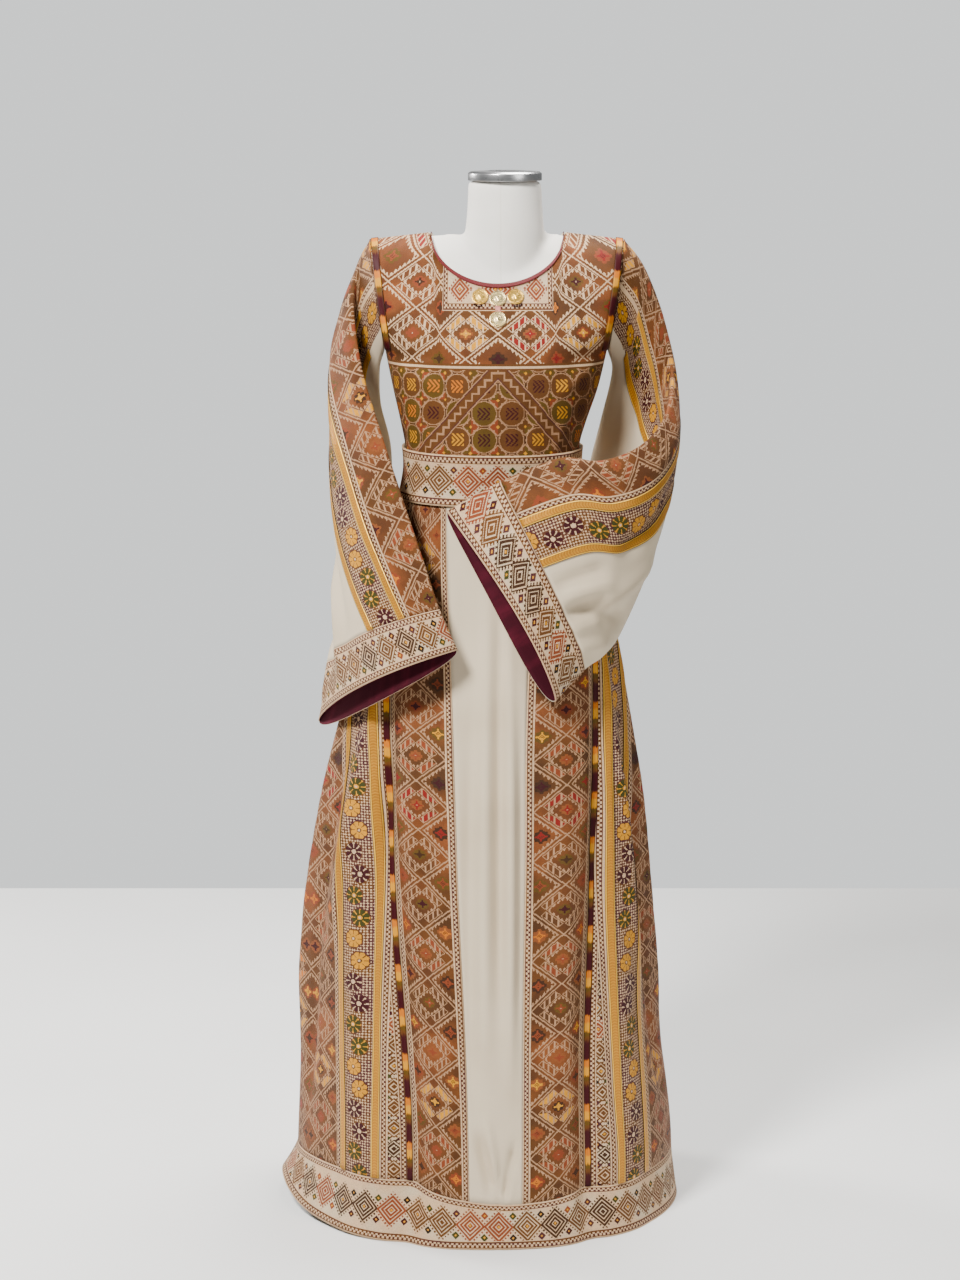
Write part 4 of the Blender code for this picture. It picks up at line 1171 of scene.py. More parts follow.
def jerseyMaterial():
    material, tree = startMaterial("jerseyCover", jersey["rough"], sheen=0.05, gloss=0.2)
    x, y, z = objectWires(tree)
    rib = ((x + y * 0.35) / jersey["rib"] * math.pi * 2).sine()
    loop = (z / jersey["rib"] * math.pi * 2 + rib).sine()
    cloud = cloudOf(x + y, z, 0.09, 3.0)
    seam = 1.0 - abs(x - 0.004).fade(0.0004, 0.0016)
    color = paint(jersey["color"], jersey["shade"],
                  cloud.fade(0.4, 0.8) * 0.6 + seam * 0.5 + rib * 0.05)
    setSurface(tree, color, jersey["rough"] + cloud * 0.12,
               (rib * 0.4 + loop * 0.3 - seam * 3.0, 0.25, 0.0003))
    return material


panelFinish = embroideredMaterial("panelEmbroidery", frontPanelPattern)
goreFinish = embroideredMaterial("goreEmbroidery", gorePattern, "fromSeam")
hemFinish = embroideredMaterial("hemEmbroidery", hemPattern, "fromTop")
beltFinish = embroideredMaterial("beltEmbroidery", beltPattern)
cuffFinish = embroideredMaterial("cuffEmbroidery", cuffPattern)
bodiceFinish = embroideredMaterial("bodiceEmbroidery", bodicePattern)
sleeveFinish = embroideredMaterial("sleeveEmbroidery", sleevePattern)
creamFinish = plainMaterial("creamCloth", plainCloth)
wrongSide = plainMaterial("wrongSide", dict(plainCloth, color=(0.540, 0.480, 0.380), sheen=0.1))
velvetFinish = velvetMaterial()
braidFinish = braidMaterial()
silkFinish = silkMaterial()
bindingFinish = bindingMaterial()
coinFinish = metalMaterial("wornGilt", gilt, 0.006)
paleCoinFinish = metalMaterial("paleGilt", paleGilt, 0.006)
steelFinish = metalMaterial("platedSteel", steel, 0.030)
jerseyFinish = jerseyMaterial()
print("materials made")


# Skirt: rows up a panel, cells across it, and the gore's finer columns beside its seam
skirt = {"rows": 96, "frontCells": 22, "backCells": 60, "goreFine": 26, "goreCoarse": 18,
         "frontMap": 0.098, "fineReach": 0.075, "trimTop": 0.952, "ribbon": 0.012, "spacing": 0.058}


def makePiece(name, slot, surface, places, finish, wall=cloth["wall"], **options):
    # A sheet that shows in place of the solid with its name
    piece, rows = makeSheet(name, surface, places, finish, wall, **options)
    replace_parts(piece, name)
    return piece, rows


def makeStrip(name, surface, places, material, slot, width):
    def stripMap(rows):
        heights = arcAlong([row[len(row) // 2] for row in rows])
        return gridOf(spread(0.0, width, len(rows[0]) - 1), heights)
    return makePiece(name, slot, surface, places, [material], cloth["trimWall"],
                     rise=cloth["trimRise"], maps={"flat": stripMap})[0]


def skirtSurface(place, inset):
    return skirtPoint(*place, inset)


def panelEdges(side, kind, z):
    sign = signOf(side)
    centre, seam, back = [sign * border(side, name, z) for name in ("centre", "seam", "back")]
    ends = {"front": (centre, seam), "gore": (seam, back), "back": (back, sign * 180.0)}[kind]
    return [ends[0] + sign * seamShift(ends[0], z), ends[1] - sign * seamShift(ends[1] - sign, z)]


def centreEdges(z):
    return (panelEdges("left", "front", z)[0] + 2 * seamShift(-10, z),
            panelEdges("right", "front", z)[0] - 2 * seamShift(10, z))


def plainMap(at):
    return lambda angles, z: [(angle * arcPerDegree(at, z), z) for angle in angles]


def frontMap(angles, z):
    cells = len(angles) - 1
    return [(skirt["frontMap"] * (j / cells - 0.5), z) for j in range(cells + 1)]


def makePanel(name, slot, material, cells, edgesAt, rowMap):
    # edgesAt(z) gives the panel's borders in degrees, rowMap(angles, z) one row of its map
    places, values = [], []
    for level in spread(0.0, 1.0, skirt["rows"]):
        z = nominalHeight(level)
        angles = spread(*edgesAt(z), cells)
        places.append([(angle, level) for angle in angles])
        values.append(rowMap(angles, z))
    piece, rows = makePiece(name, slot, skirtSurface, places, [material, wrongSide],
                            maps={"flat": values})
    declareSheet(piece, rows)


def stripPlaces(side, low, high, follows):
    # A strip of the gore between two distances from the seam or from the first ribbon
    places = []
    for level in spread(0.0, skirt["trimTop"], skirt["rows"]):
        z = nominalHeight(level)
        start = panelEdges(side, "gore", z)[0]
        ribbon = border(side, "ribbon", z) if follows == "ribbon" else 0.0
        ends = [angleAfter(start, z, signOf(side) * (ribbon + mark)) if ribbon + mark else start
                for mark in (low, high)]
        places.append([(angle, level) for angle in spread(*ends, 4)])
    return places


def makeGore(side):
    places, flat, fromSeam = [], [], []
    for level in spread(0.0, 1.0, skirt["rows"]):
        z = nominalHeight(level)
        first, last = panelEdges(side, "gore", z)
        ribbon = border(side, "ribbon", z)
        marks = spread(0.0, ribbon + skirt["fineReach"], skirt["goreFine"])
        angles = [first]
        for low, high in zip(marks, marks[1:]):
            angles.append(angleAfter(angles[-1], z, signOf(side) * (high - low)))
        angles += spread(angles[-1], last, skirt["goreCoarse"])[1:]
        for before, after in zip(angles[skirt["goreFine"]:], angles[skirt["goreFine"] + 1:]):
            marks.append(marks[-1] + abs(after - before) * arcPerDegree((before + after) / 2, z))
        places.append([(angle, level) for angle in angles])
        flat.append([(mark - ribbon, z) for mark in marks])
        fromSeam.append([(mark, z) for mark in marks])
    piece, rows = makePiece("skirt_gore_" + side, "thobe_embroidery", skirtSurface, places,
                            [goreFinish, wrongSide], maps={"flat": flat, "fromSeam": fromSeam})
    half, space = skirt["ribbon"] / 2, skirt["spacing"]
    trims = [makeStrip("seam_silk_" + side, skirtSurface,
                       stripPlaces(side, 0.0, silk["width"], "seam"),
                       silkFinish, "striped_silk", silk["width"])]
    for label, shift in (("inner", 0.0), ("outer", space)):
        trims.append(makeStrip("skirt_ribbon_" + label + "_" + side, skirtSurface,
                               stripPlaces(side, shift - half, shift + half, "ribbon"),
                               braidFinish, "gold_ribbon", braid["width"]))
    declareSheet(piece, rows)


makePanel("skirt_centre", "thobe_cream", creamFinish, skirt["frontCells"], centreEdges,
          plainMap(0))
for side in ("left", "right"):
    makePanel("skirt_front_" + side, "thobe_embroidery", panelFinish, skirt["frontCells"],
              lambda z: panelEdges(side, "front", z), frontMap)
    makeGore(side)
    makePanel("skirt_back_" + side, "thobe_cream", creamFinish, skirt["backCells"],
              lambda z: panelEdges(side, "back", z), plainMap(150))
print("skirt made")


# Hem band in a front and a back part
hemBand = {"step": 0.8, "rows": 12, "wall": 0.0017, "mapLevel": 0.3}


def makeHemBand(face):
    z = cloth["bandTop"]
    if face == "front":
        first, last = panelEdges("left", "gore", z)[1], panelEdges("right", "gore", z)[1]
        middleAngle, hungFrom = 0, ["skirt_gore_left", "skirt_gore_right"]
    else:
        first, last = panelEdges("right", "back", z)[0], panelEdges("left", "back", z)[0] + 360.0
        middleAngle, hungFrom = 180, ["skirt_back_left", "skirt_back_right"]
    angles = spread(first, last, round((last - first) / hemBand["step"]))
    angles = [turned(angle) for angle in angles]
    # The map's columns follow the band's length near its lower edge
    lengths = arcAlong([bandPoint(angle, hemBand["mapLevel"], 0.0) for angle in angles])
    heights = [(bandPoint(angle, 1.0, 0.0) - bandPoint(angle, 0.0, 0.0)).length
               for angle in angles]
    middle = lengths[min(range(len(angles)), key=lambda k: abs(abs(angles[k]) - middleAngle))]
    levels = spread(0.0, 1.0, hemBand["rows"])
    flat = [[(length - middle, level * height) for length, height in zip(lengths, heights)]
            for level in levels]
    fromTop = [[((1 - level) * height, 0.0) for height in heights] for level in levels]
    piece, rows = makePiece("hem_band_" + face, "band_embroidery",
                            lambda place, inset: bandPoint(*place, inset),
                            gridOf(angles, levels),
                            [hemFinish, wrongSide], hemBand["wall"],
                            maps={"flat": flat, "fromTop": fromTop})
    declareSheet(piece, rows)


for face in ("front", "back"):
    makeHemBand(face)
print("hem band made")


# Bodice, with the silk at the armholes and the bound neckline
bodice = {"cells": 76, "rows": 66, "silk": (0.93, 0.985), "silkLow": 0.53, "silkRows": 44,
          "binding": 0.98, "bindingCells": 64, "bindingRow": 0.0014}


def bodiceMap(rows):
    values = []
    for row in rows:
        lengths = arcAlong(row)
        values.append([(length - lengths[len(row) // 2], point.z)
                       for length, point in zip(lengths, row)])
    return values


def bindingMap(rows):
    lengths = arcAlong(rows[-1])
    return [[(length, i * bodice["bindingRow"]) for length in lengths] for i in range(len(rows))]


def makeBodice(face):
    # Columns lie closer together towards the armholes
    shares = [math.sin(math.pi / 2 * share) * 0.5 + share * 0.5
              for share in spread(-1.0, 1.0, bodice["cells"])]
    places = gridOf(shares, spread(0.0, 1.0, bodice["rows"]))

    def surface(place, inset):
        return bodicePoint(face, *place, inset)
    finish, slot = {"front": (bodiceFinish, "thobe_embroidery"),
                    "back": (creamFinish, "thobe_cream")}[face]
    piece, rows = makePiece("bodice_" + face, slot, surface, places, [finish, wrongSide],
                            maps={"flat": bodiceMap})
    for side in ("left", "right"):
        edge = spread(*[signOf(side) * share for share in bodice["silk"]], 4)
        makeStrip("armhole_silk_" + face + "_" + side, surface,
                               gridOf(edge, spread(bodice["silkLow"], 1.0, bodice["silkRows"])),
                               silkFinish, "striped_silk", silk["width"])
    reach = cloth["neckHalfShare"]
    neckPlaces = gridOf(spread(-reach, reach, bodice["bindingCells"]),
                        spread(bodice["binding"], 1.0, 4))
    (makePiece("neck_binding_" + face, "neck_binding", surface, neckPlaces,
                           [bindingFinish], cloth["trimWall"], rise=cloth["trimRise"],
                           maps={"flat": bindingMap})[0])
    declareSheet(piece, rows)


for face in ("front", "back"):
    makeBodice(face)
print("bodice made")


# Belt, with the slight buckles that a soft belt takes at a waist
belt = {"top": 1.117, "low": 1.045, "clear": 0.0022, "thick": 0.0026, "wall": 0.0022,
        "dip": 0.003, "cells": 240, "rows": 14}
beltBuckles = (
    # angle, rise, spread in degrees, height of its middle as a share, how tall as a share
    (-38.0, 0.0012, 7.0, 0.45, 0.5), (-14.0, 0.0009, 8.0, 0.60, 0.5),
    (21.0, 0.0011, 7.0, 0.40, 0.5), (52.0, 0.0012, 8.0, 0.55, 0.5),
    (88.0, 0.0014, 9.0, 0.50, 0.6), (131.0, 0.0012, 8.0, 0.55, 0.5),
    (168.0, 0.0010, 7.0, 0.40, 0.5), (-152.0, 0.0013, 9.0, 0.50, 0.5),
    (-108.0, 0.0012, 8.0, 0.55, 0.5), (-76.0, 0.0012, 8.0, 0.45, 0.5),
)


def beltSurface(place, inset):
    angle, level = place
    push = 0.0
    for at, rise, wide, middle, tall in beltBuckles:
        away = turned(angle - at) / wide
        push += rise * math.exp(-away * away - ((level - middle) / tall) ** 2)
    z = belt["low"] + level * (belt["top"] - belt["low"])
    point = ringPoint(angle, z, inset - belt["clear"] - belt["thick"], push)
    point.z -= belt["dip"] * math.cos(math.radians(angle))
    return point


def makeBelt():
    angles = spread(-180.0, 180.0, belt["cells"])
    levels = spread(0.0, 1.0, belt["rows"])
    around = arcAlong([beltSurface((angle, 0.5), 0.0) for angle in angles])
    middle = around[belt["cells"] // 2]
    tall = belt["top"] - belt["low"]
    values = [[(length - middle, level * tall) for length in around] for level in levels]
    piece, rows = makePiece("belt", "band_embroidery", beltSurface, gridOf(angles, levels),
                            [beltFinish, wrongSide], belt["wall"], ring=True,
                            maps={"flat": values})
    declareSheet(piece, rows)


makeBelt()
print("belt made")


# Sleeves, cuffs, their facing and their ribbons
sleeve = {"cells": 56, "rowsPerStation": 11, "seamStation": 0.06, "embroidered": 0.1245,
          "ribbonStart": 1.0, "ribbons": ((0.059, 0.072), (0.118, 0.131)), "lengthShare": 0.35,
          "cuffRows": 12, "cuffMap": 0.058, "facing": 0.0018}


def sleeveRing(station):
    shares = [(1 - math.cos(math.pi * k / sleeve["cells"])) / 2
              for k in range(sleeve["cells"] + 1)]
    return ([(station, 1, share) for share in shares]
            + [(station, -1, share) for share in reversed(shares[:-1])])


def sleeveLengths(side, stations):
    return arcAlong([acrossSleeve(side, station, sleeve["lengthShare"])[0]
                     for station in stations])


def makeRibbons(side, surface, stations):
    ribbons = []
    for label, face in (("a", 1), ("b", -1)):
        for kind, (low, high) in zip(("inner", "outer"), sleeve["ribbons"]):
            strip = []
            for station in stations:
                width = sleeveWidth(side, station)
                strip.append([(station, face, mark / width) for mark in spread(low, high, 4)])
            ribbons.append(makeStrip("sleeve_ribbon_%s_%s_%s" % (kind, label, side), surface,
                                     strip, braidFinish, "gold_ribbon", braid["width"]))
    return ribbons


def makeSleeve(side):
    def surface(place, inset):
        return sleevePoint(side, *place, inset)
    mouth = len(sleeveRows[side]) - 1
    seam = mouth - 1
    gap = cloth["seamGap"] / sleeve["seamStation"] / 2
    stations = spread(0.0, seam - gap, round(seam * sleeve["rowsPerStation"]))
    values = []
    for station, length in zip(stations, sleeveLengths(side, stations)):
        width = sleeveWidth(side, station)
        values.append([(share * width, length) for _, _, share in sleeveRing(station)])
    piece, rows = makePiece("sleeve_" + side, "thobe_cream", surface,
                            [sleeveRing(station) for station in stations],
                            [sleeveFinish, creamFinish, velvetFinish, velvetFinish],
                            ring=True, maps={"flat": values})
    # Embroidered over the arm and plain below it, with velvet inside both
    piece.modifiers["Wall"].material_offset = 2
    layer = piece.data.uv_layers["flat"]
    for face in piece.data.polygons:
        across = sum(layer.data[k].uv.x for k in face.loop_indices) / face.loop_total
        face.material_index = 1 if across > sleeve["embroidered"] else 0
    ribbons = makeRibbons(side, surface, [station for station in stations
                                          if station >= sleeve["ribbonStart"]])
    declareSheet(piece, rows)
    makeCuff(side, surface, spread(seam + gap, float(mouth), sleeve["cuffRows"]))


def makeCuff(side, surface, stations):
    places = [sleeveRing(station) for station in stations]
    lengths = sleeveLengths(side, stations)
    values = []
    for station, length in zip(stations, lengths):
        width = sleeveWidth(side, station)
        around = [(share if face == 1 else 2 - share) * width
                  for _, face, share in sleeveRing(station)[:-1]] + [2 * width]
        values.append([(x, length * sleeve["cuffMap"] / lengths[-1]) for x in around])
    cuff, rows = makePiece("cuff_" + side, "band_embroidery", surface, places,
                           [cuffFinish, wrongSide], ring=True, maps={"flat": values})
    declareSheet(cuff, rows)
    facing, rows = makePiece("cuff_lining_" + side, "cuff_lining", surface, places,
                             [velvetFinish], cloth["trimWall"], rise=-sleeve["facing"],
                             ring=True, maps={"flat": values})
    declareSheet(facing, rows)


for side in ("left", "right"):
    makeSleeve(side)
print("sleeves and cuffs made")


# Small helpers for the modelled pieces
def setMode(mode):
    bpy.ops.object.mode_set(mode=mode)


def settle():
    bpy.ops.object.transform_apply(location=True, rotation=True, scale=True)


def applyNamed(name):
    bpy.ops.object.modifier_apply(modifier=name)


def clearSelection():
    if bpy.context.object and bpy.context.object.mode != "OBJECT":
        setMode("OBJECT")
    bpy.ops.object.select_all(action="DESELECT")


def keepOnly(*items):
    # The first item becomes the active one
    clearSelection()
    for item in items:
        item.select_set(True)
    bpy.context.view_layer.objects.active = items[0]


def selectFaces(item, test):
    # In edit mode: only the faces whose middle and normal pass the test
    form = bmesh.from_edit_mesh(item.data)
    for part in (form.faces, form.edges, form.verts):
        for element in part:
            element.select = False
    for face in form.faces:
        if test(face.calc_center_median(), face.normal):
            face.select_set(True)
    form.select_flush_mode()
    bmesh.update_edit_mesh(item.data)


def insetFaces(*steps):
    for thickness, depth in steps:
        bpy.ops.mesh.inset(thickness=thickness, depth=depth)


def addBevel(item, name, width, segments):
    # Only edges that turn more than 30 degrees are bevelled
    bevel = item.modifiers.new(name, "BEVEL")
    bevel.width = width
    bevel.segments = segments
    bevel.limit_method = "ANGLE"
    bevel.angle_limit = math.radians(30)
    applyNamed(name)


def setMaterial(item, material):
    item.data.materials.clear()
    item.data.materials.append(material)


# Coins at the neckline: one coin is modelled and copied to its four places
coin = {"radius": 0.0115, "thick": 0.0016, "pitch": 0.0245, "row": 0.928, "drop": 0.826,
        "clear": 0.0006, "edge": 0.00012, "beads": 26, "beadRing": 0.0087, "bead": 0.00072,
        "points": 8, "starReach": 0.0066, "starTop": 0.0006, "starTall": 0.0010,
        "starWaist": 0.45, "loop": 0.0016, "wire": 0.00035, "smooth": 32,
        "faces": ((0.0012, 0.0), (0.0004, -0.00045), (0.0048, 0.0), (0.0005, 0.00030))}


def addCoinModel():
    clearSelection()
    bpy.ops.mesh.primitive_cylinder_add(vertices=64, radius=coin["radius"], depth=coin["thick"],
                                        location=(0, 0, 0))
    disc = bpy.context.object
    disc.name = "coin_model"
    setMode("EDIT")
    bpy.ops.mesh.select_mode(type="FACE")
    for sign in (1, -1):
        # A raised rim, a sunken field and a low boss in the middle
        selectFaces(disc, lambda middle, normal: normal.z * sign > 0.9 and middle.z * sign > 0)
        insetFaces(*coin["faces"])
    setMode("OBJECT")
    addBevel(disc, "Rim", coin["edge"], 2)
    parts = [disc]
    # A star in the middle, raised to a low ridge
    clearSelection()
    bpy.ops.mesh.primitive_cone_add(vertices=coin["points"] * 2, radius1=coin["starReach"],
                                    radius2=coin["starTop"], depth=coin["starTall"],
                                    location=(0, 0, coin["thick"] / 2 - 0.00005))
    star = bpy.context.object
    for vertex in star.data.vertices:
        turn = math.atan2(vertex.co.y, vertex.co.x)
        if round(turn / (2 * math.pi) * coin["points"] * 2) % 2:
            vertex.co.x *= coin["starWaist"]
            vertex.co.y *= coin["starWaist"]
    parts.append(star)
    # Beads round the rim
    for k in range(coin["beads"]):
        turn = 2 * math.pi * k / coin["beads"]
        clearSelection()
        bpy.ops.mesh.primitive_ico_sphere_add(subdivisions=2, radius=coin["bead"], location=(
            coin["beadRing"] * math.cos(turn), coin["beadRing"] * math.sin(turn),
            coin["thick"] / 2 - 0.00030))
        parts.append(bpy.context.object)
    # The ring that it is sewn on by, at its top edge
    clearSelection()
    bpy.ops.mesh.primitive_torus_add(major_radius=coin["loop"], minor_radius=coin["wire"],
                                     major_segments=28, minor_segments=10,
                                     location=(0, coin["radius"] + 0.0009, 0.0))
    parts.append(bpy.context.object)
    keepOnly(*parts)
    bpy.ops.object.join()
    settle()
    keepOnly(disc)
    bpy.ops.object.shade_smooth_by_angle(angle=math.radians(coin["smooth"]))
    return disc


def chestPlace(share, level, lift):
    centre = bodicePoint("front", share, level, 0.0)
    aside = bodicePoint("front", share + 0.02, level, 0.0) - centre
    above = bodicePoint("front", share, level + 0.02, 0.0) - centre
    outward = aside.cross(above).normalized()
    axes = Matrix((aside.normalized(), outward.cross(aside).normalized(), outward))
    return Matrix.Translation(centre + outward * lift) @ axes.transposed().to_4x4()


def placeCopy(model, name, matrix, material):
    copy = addObject(name, model.data.copy())
    copy.data.name = name
    copy.data.transform(matrix)
    setMaterial(copy, material)
    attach(copy, "root")
    return copy


coinHalf = bodiceHalf("right", bodicePoint("front", 0.0, coin["row"], 0.0).z)


def makeCoins():
    model = addCoinModel()
    lift, aside = coin["clear"] + coin["thick"] / 2, coin["pitch"] / coinHalf
    for name, share, level, turn, material in (
            ("left", -aside, coin["row"], 0.35, coinFinish),
            ("middle", 0.0, coin["row"], 0.0, paleCoinFinish),
            ("right", aside, coin["row"], -0.3, coinFinish),
            ("drop", 0.0, coin["drop"], 0.1, paleCoinFinish)):
        matrix = chestPlace(share, level, lift) @ Matrix.Rotation(turn, 4, "Z")
        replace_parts(placeCopy(model, "coin_" + name, matrix, material), "coin_" + name)
    bpy.data.objects.remove(model, do_unlink=True)


# Pink ribbon that the lowest coin hangs on, and dark beads sewn under the two outer coins
trim = {"ribbon": 0.0075, "ribbonRows": 16, "ribbonCells": 6, "mapLength": 0.03, "wall": 0.0005,
        "rise": 0.0007, "color": (0.560, 0.190, 0.150), "shade": (0.420, 0.120, 0.095),
        "bead": 0.0016, "beadWall": 0.0006, "beadHole": 0.80, "beadTall": 0.82, "below": 0.0018,
        "beadLift": 0.0012,
        "beads": ((-0.0052, 0.0), (-0.0018, 0.0014), (0.0018, 0.0014), (0.0052, 0.0))}


def ribbonMaterial():
    material, tree = startMaterial("pinkRibbon", 0.30, gloss=0.4)
    x, y = mapWires(tree)
    rib = (y / 0.0009 * math.pi * 2).sine() * 0.5 + 0.5
    edge = abs(x / trim["ribbon"] - 0.5) > 0.42
    setSurface(tree, paint(trim["color"], trim["shade"], rib * 0.5 + edge * 0.4),
               0.30 + rib * 0.15, (rib, 0.3, 0.0002))
    return material


def beadMaterial():
    material, tree = startMaterial("glassBead", 0.12)
    x, y, z = objectWires(tree)
    cloud = cloudOf(x, z, 0.0012)
    setSurface(tree, paint("black", "burgundy", cloud.fade(0.4, 0.6)), 0.12 + cloud * 0.16)
    return material


def makeCoinRibbon():
    side = trim["ribbon"] / 2 / coinHalf
    places = gridOf(spread(-side, side, trim["ribbonCells"]),
                    spread(coin["drop"] + 0.022, coin["row"] - 0.020, trim["ribbonRows"]))
    values = gridOf(spread(0.0, trim["ribbon"], trim["ribbonCells"]),
                    spread(0.0, trim["mapLength"], trim["ribbonRows"]))
    ribbon, _ = makeSheet("coin_ribbon", lambda place, inset: bodicePoint("front", *place, inset),
                          places, [ribbonMaterial()], trim["wall"], {"flat": values},
                          trim["rise"])
    ribbon.modifiers["Wall"].offset = -0.6


def makeCoinBeads():
    clearSelection()
    bpy.ops.mesh.primitive_uv_sphere_add(segments=20, ring_count=12, radius=trim["bead"])
    bead = bpy.context.object
    setMode("EDIT")
    selectFaces(bead, lambda middle, normal: abs(middle.z) > trim["bead"] * trim["beadHole"])
    bpy.ops.mesh.delete(type="FACE")
    bpy.ops.mesh.select_all(action="SELECT")
    bpy.ops.transform.resize(value=(1.0, 1.0, trim["beadTall"]))
    setMode("OBJECT")
    settle()
    bead.modifiers.new("Glass", "SOLIDIFY").thickness = trim["beadWall"]
    applyNamed("Glass")
    bpy.ops.object.shade_smooth()
    glass = beadMaterial()
    for side in ("left", "right"):
        matrix = chestPlace(signOf(side) * coin["pitch"] / coinHalf, coin["row"],
                            trim["beadLift"])
        for k, (aside, down) in enumerate(trim["beads"]):
            offset = Matrix.Translation((aside, -coin["radius"] - trim["below"] - down, 0.0))
            placeCopy(bead, "coin_bead_%s_%d" % (side, k), matrix @ offset, glass)
    bpy.data.objects.remove(bead, do_unlink=True)


makeCoins()
makeCoinRibbon()
makeCoinBeads()
print("coins made")


# Dress form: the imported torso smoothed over, and a turned cap, pole and base
form = {"voxel": 0.0045, "smooth": 14}
stand = {"neckX": 0.010, "neckY": -0.008, "neckTop": 1.4923, "capRadius": 0.053, "capTall": 0.014,
         "poleRadius": 0.016, "poleLow": 0.0143, "poleTop": 0.7947, "baseRadius": 0.150,
         "baseThick": 0.014}


def makeForm():
    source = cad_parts["form_torso"]
    source = bpy.data.objects[source] if isinstance(source, str) else source
    torso = addObject("form_cover", source.data.copy())
    keepOnly(torso)
    setMode("EDIT")
    bpy.ops.mesh.select_all(action="SELECT")
    bpy.ops.mesh.remove_doubles(threshold=0.00002)
    setMode("OBJECT")
    remesh = torso.modifiers.new("Skin", "REMESH")
    remesh.mode = "VOXEL"
    remesh.voxel_size = form["voxel"]
    smooth = torso.modifiers.new("Stretch", "SMOOTH")
    smooth.iterations = form["smooth"]
    smooth.factor = 0.5
    applyNamed("Skin")
    applyNamed("Stretch")
    setMaterial(torso, jerseyFinish)
    torso.data.shade_smooth()
    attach(torso, "root")
    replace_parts(torso, "form_torso")


def addTurned(radius, low, high, x=0.0, y=0.0, vertices=96):
    clearSelection()
    bpy.ops.mesh.primitive_cylinder_add(vertices=vertices, radius=radius, depth=high - low,
                                        location=(x, y, (low + high) / 2))
    settle()
    setMode("EDIT")
    bpy.ops.mesh.select_mode(type="FACE")
    return bpy.context.object


def finishTurned(item, name, bevelWidth):
    setMode("OBJECT")
    keepOnly(item)
    item.name = name
    item.data.name = name
    addBevel(item, "Edges", bevelWidth, 3)
    settle()
    bpy.ops.object.shade_smooth_by_angle(angle=math.radians(35))
    setMaterial(item, steelFinish)
    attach(item, "root")
    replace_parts(item, name)


def topFaces(middle, normal):
    return normal.z > 0.9


def makeStand():
    cap = addTurned(stand["capRadius"] - 0.001, stand["neckTop"],
                    stand["neckTop"] + stand["capTall"] - 0.004, stand["neckX"], stand["neckY"])
    selectFaces(cap, topFaces)
    insetFaces((0.0035, 0.0025), (0.020, 0.0012), (0.004, -0.0012))
    finishTurned(cap, "form_neck_cap", 0.0008)
    # A collar near each end of the pole
    top = stand["poleTop"]
    pole = addTurned(stand["poleRadius"] - 0.0015, stand["poleLow"], top, vertices=64)
    for height in (0.020, 0.040, top - 0.030, top - 0.010):
        bpy.ops.mesh.select_all(action="SELECT")
        bpy.ops.mesh.bisect(plane_co=(0, 0, height), plane_no=(0, 0, 1))
    for low, high in ((0.018, 0.042), (top - 0.032, top - 0.008)):
        selectFaces(pole, lambda middle, normal: low < middle.z < high and abs(normal.z) < 0.5)
        bpy.ops.mesh.extrude_region_shrink_fatten(TRANSFORM_OT_shrink_fatten={"value": 0.0014})
    finishTurned(pole, "form_pole", 0.0004)
    base = addTurned(stand["baseRadius"], 0.0, stand["baseThick"] - 0.004, vertices=128)
    selectFaces(base, topFaces)
    insetFaces((0.006, 0.0025), (0.105, 0.0), (0.004, 0.0013))
    finishTurned(base, "form_base", 0.0012)


makeForm()
makeStand()
print("dress form made")


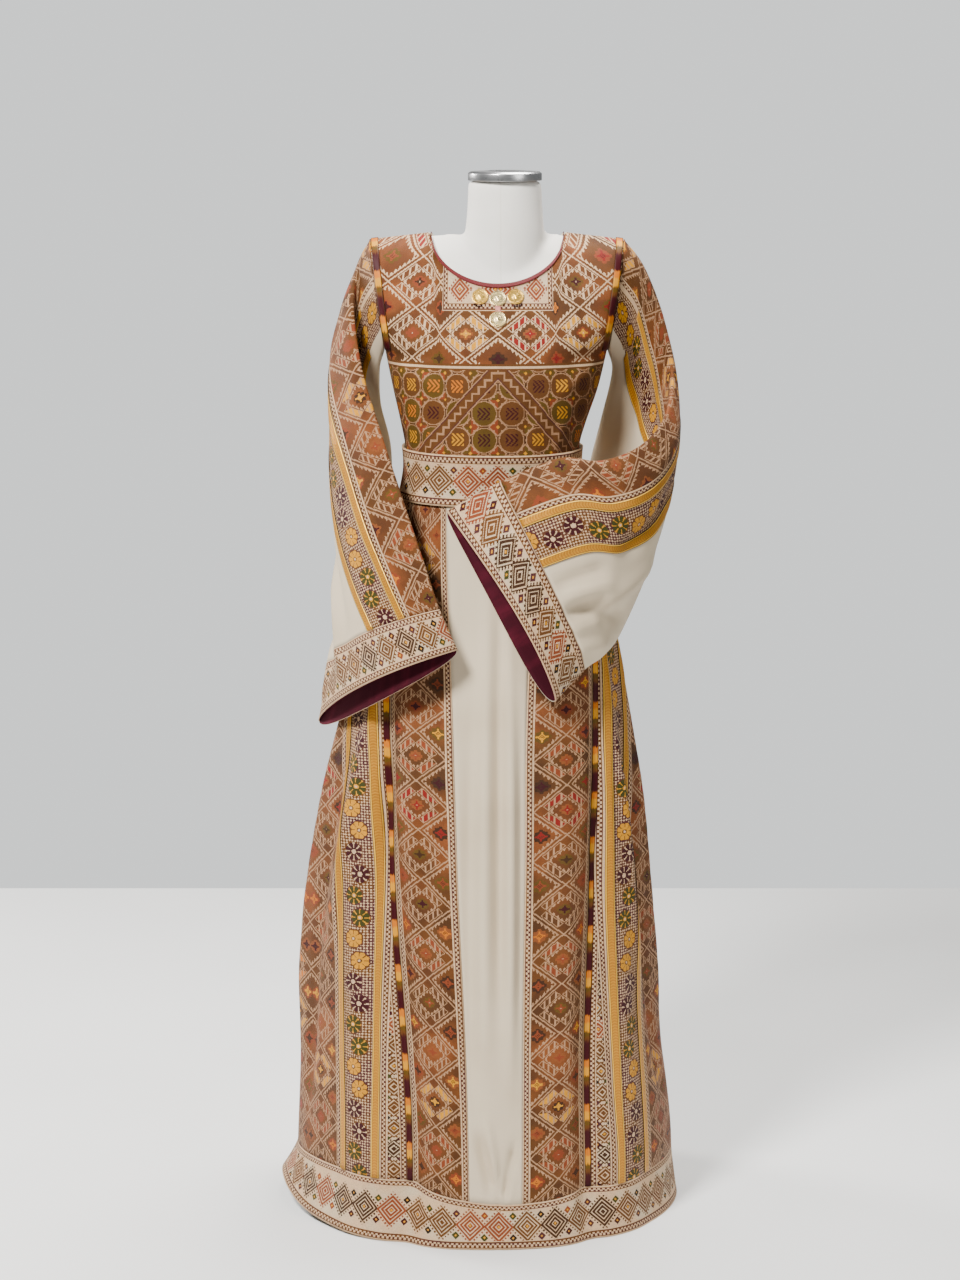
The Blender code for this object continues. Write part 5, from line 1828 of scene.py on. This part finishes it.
# Floor, light and camera
stage = {"reach": 1.69, "floor": (0.93, 0.93, 0.92), "floorShade": (0.80, 0.80, 0.79),
         "wall": (0.78, 0.80, 0.80), "soft": 0.30, "shown": 1.35, "lampColor": (1.0, 0.985, 0.960)}
view = {"place": (-0.025, -4.3, 1.64), "down": 10.62, "lens": 85.0, "sensor": 36.0}
lamps = (
    # name, place, size, power, what it points at
    ("key", (-1.3, -2.1, 3.2), 0.8, 255.0, (0.0, 0.0, 1.05)),
    ("fill", (2.6, -2.8, 1.8), 2.0, 34.0, (0.0, 0.0, 0.8)),
    ("top", (0.5, 0.5, 3.2), 1.4, 110.0, (0.0, 0.0, 0.8)),
    ("back", (-2.7, 1.5, 2.1), 0.9, 120.0, (0.0, 0.0, 0.8)),
)


def makeStage():
    clearSelection()
    bpy.ops.mesh.primitive_plane_add(size=2 * stage["reach"], location=(0, 0, -0.0005))
    floor = bpy.context.object
    floor.name = "floor"
    settle()
    material, tree = startMaterial("paleFloor", 0.55)
    x, y, z = objectWires(tree)
    setSurface(tree, paint(stage["floor"], stage["floorShade"], cloudOf(x, y, 0.6)))
    floor.data.materials.append(material)
    # The camera sees a brighter wall than the one that lights the dress
    world = bpy.data.worlds.new("studio")
    bpy.context.scene.world = world
    world.use_nodes = True
    nodes, links = world.node_tree.nodes, world.node_tree.links
    mix = nodes.new("ShaderNodeMixShader")
    links.new(nodes.new("ShaderNodeLightPath").outputs["Is Camera Ray"], mix.inputs[0])
    for place, (node, strength) in enumerate(((nodes["Background"], stage["soft"]),
                                              (nodes.new("ShaderNodeBackground"),
                                               stage["shown"])), 1):
        plug(stage["wall"], node.inputs["Color"])
        plug(strength, node.inputs["Strength"])
        links.new(node.outputs[0], mix.inputs[place])
    links.new(mix.outputs[0], nodes["World Output"].inputs[0])


def makeLamps():
    for name, place, size, power, target in lamps:
        light = bpy.data.lights.new(name, "AREA")
        light.shape = "DISK"
        light.size = size
        light.energy = power
        light.color = stage["lampColor"]
        lamp = addObject(name, light)
        lamp.location = place
        lamp.rotation_euler = (Vector(target) - Vector(place)).to_track_quat("-Z", "Y").to_euler()


def makeCamera():
    lens = bpy.data.cameras.new("photoCamera")
    lens.lens = view["lens"]
    lens.sensor_width = view["sensor"]
    camera = addObject("photoCamera", lens)
    camera.location = view["place"]
    camera.rotation_euler = (math.radians(90.0 - view["down"]), 0.0, 0.0)
    bpy.context.scene.camera = camera


makeStage()
makeLamps()
makeCamera()
print("stage, lamps and camera made")
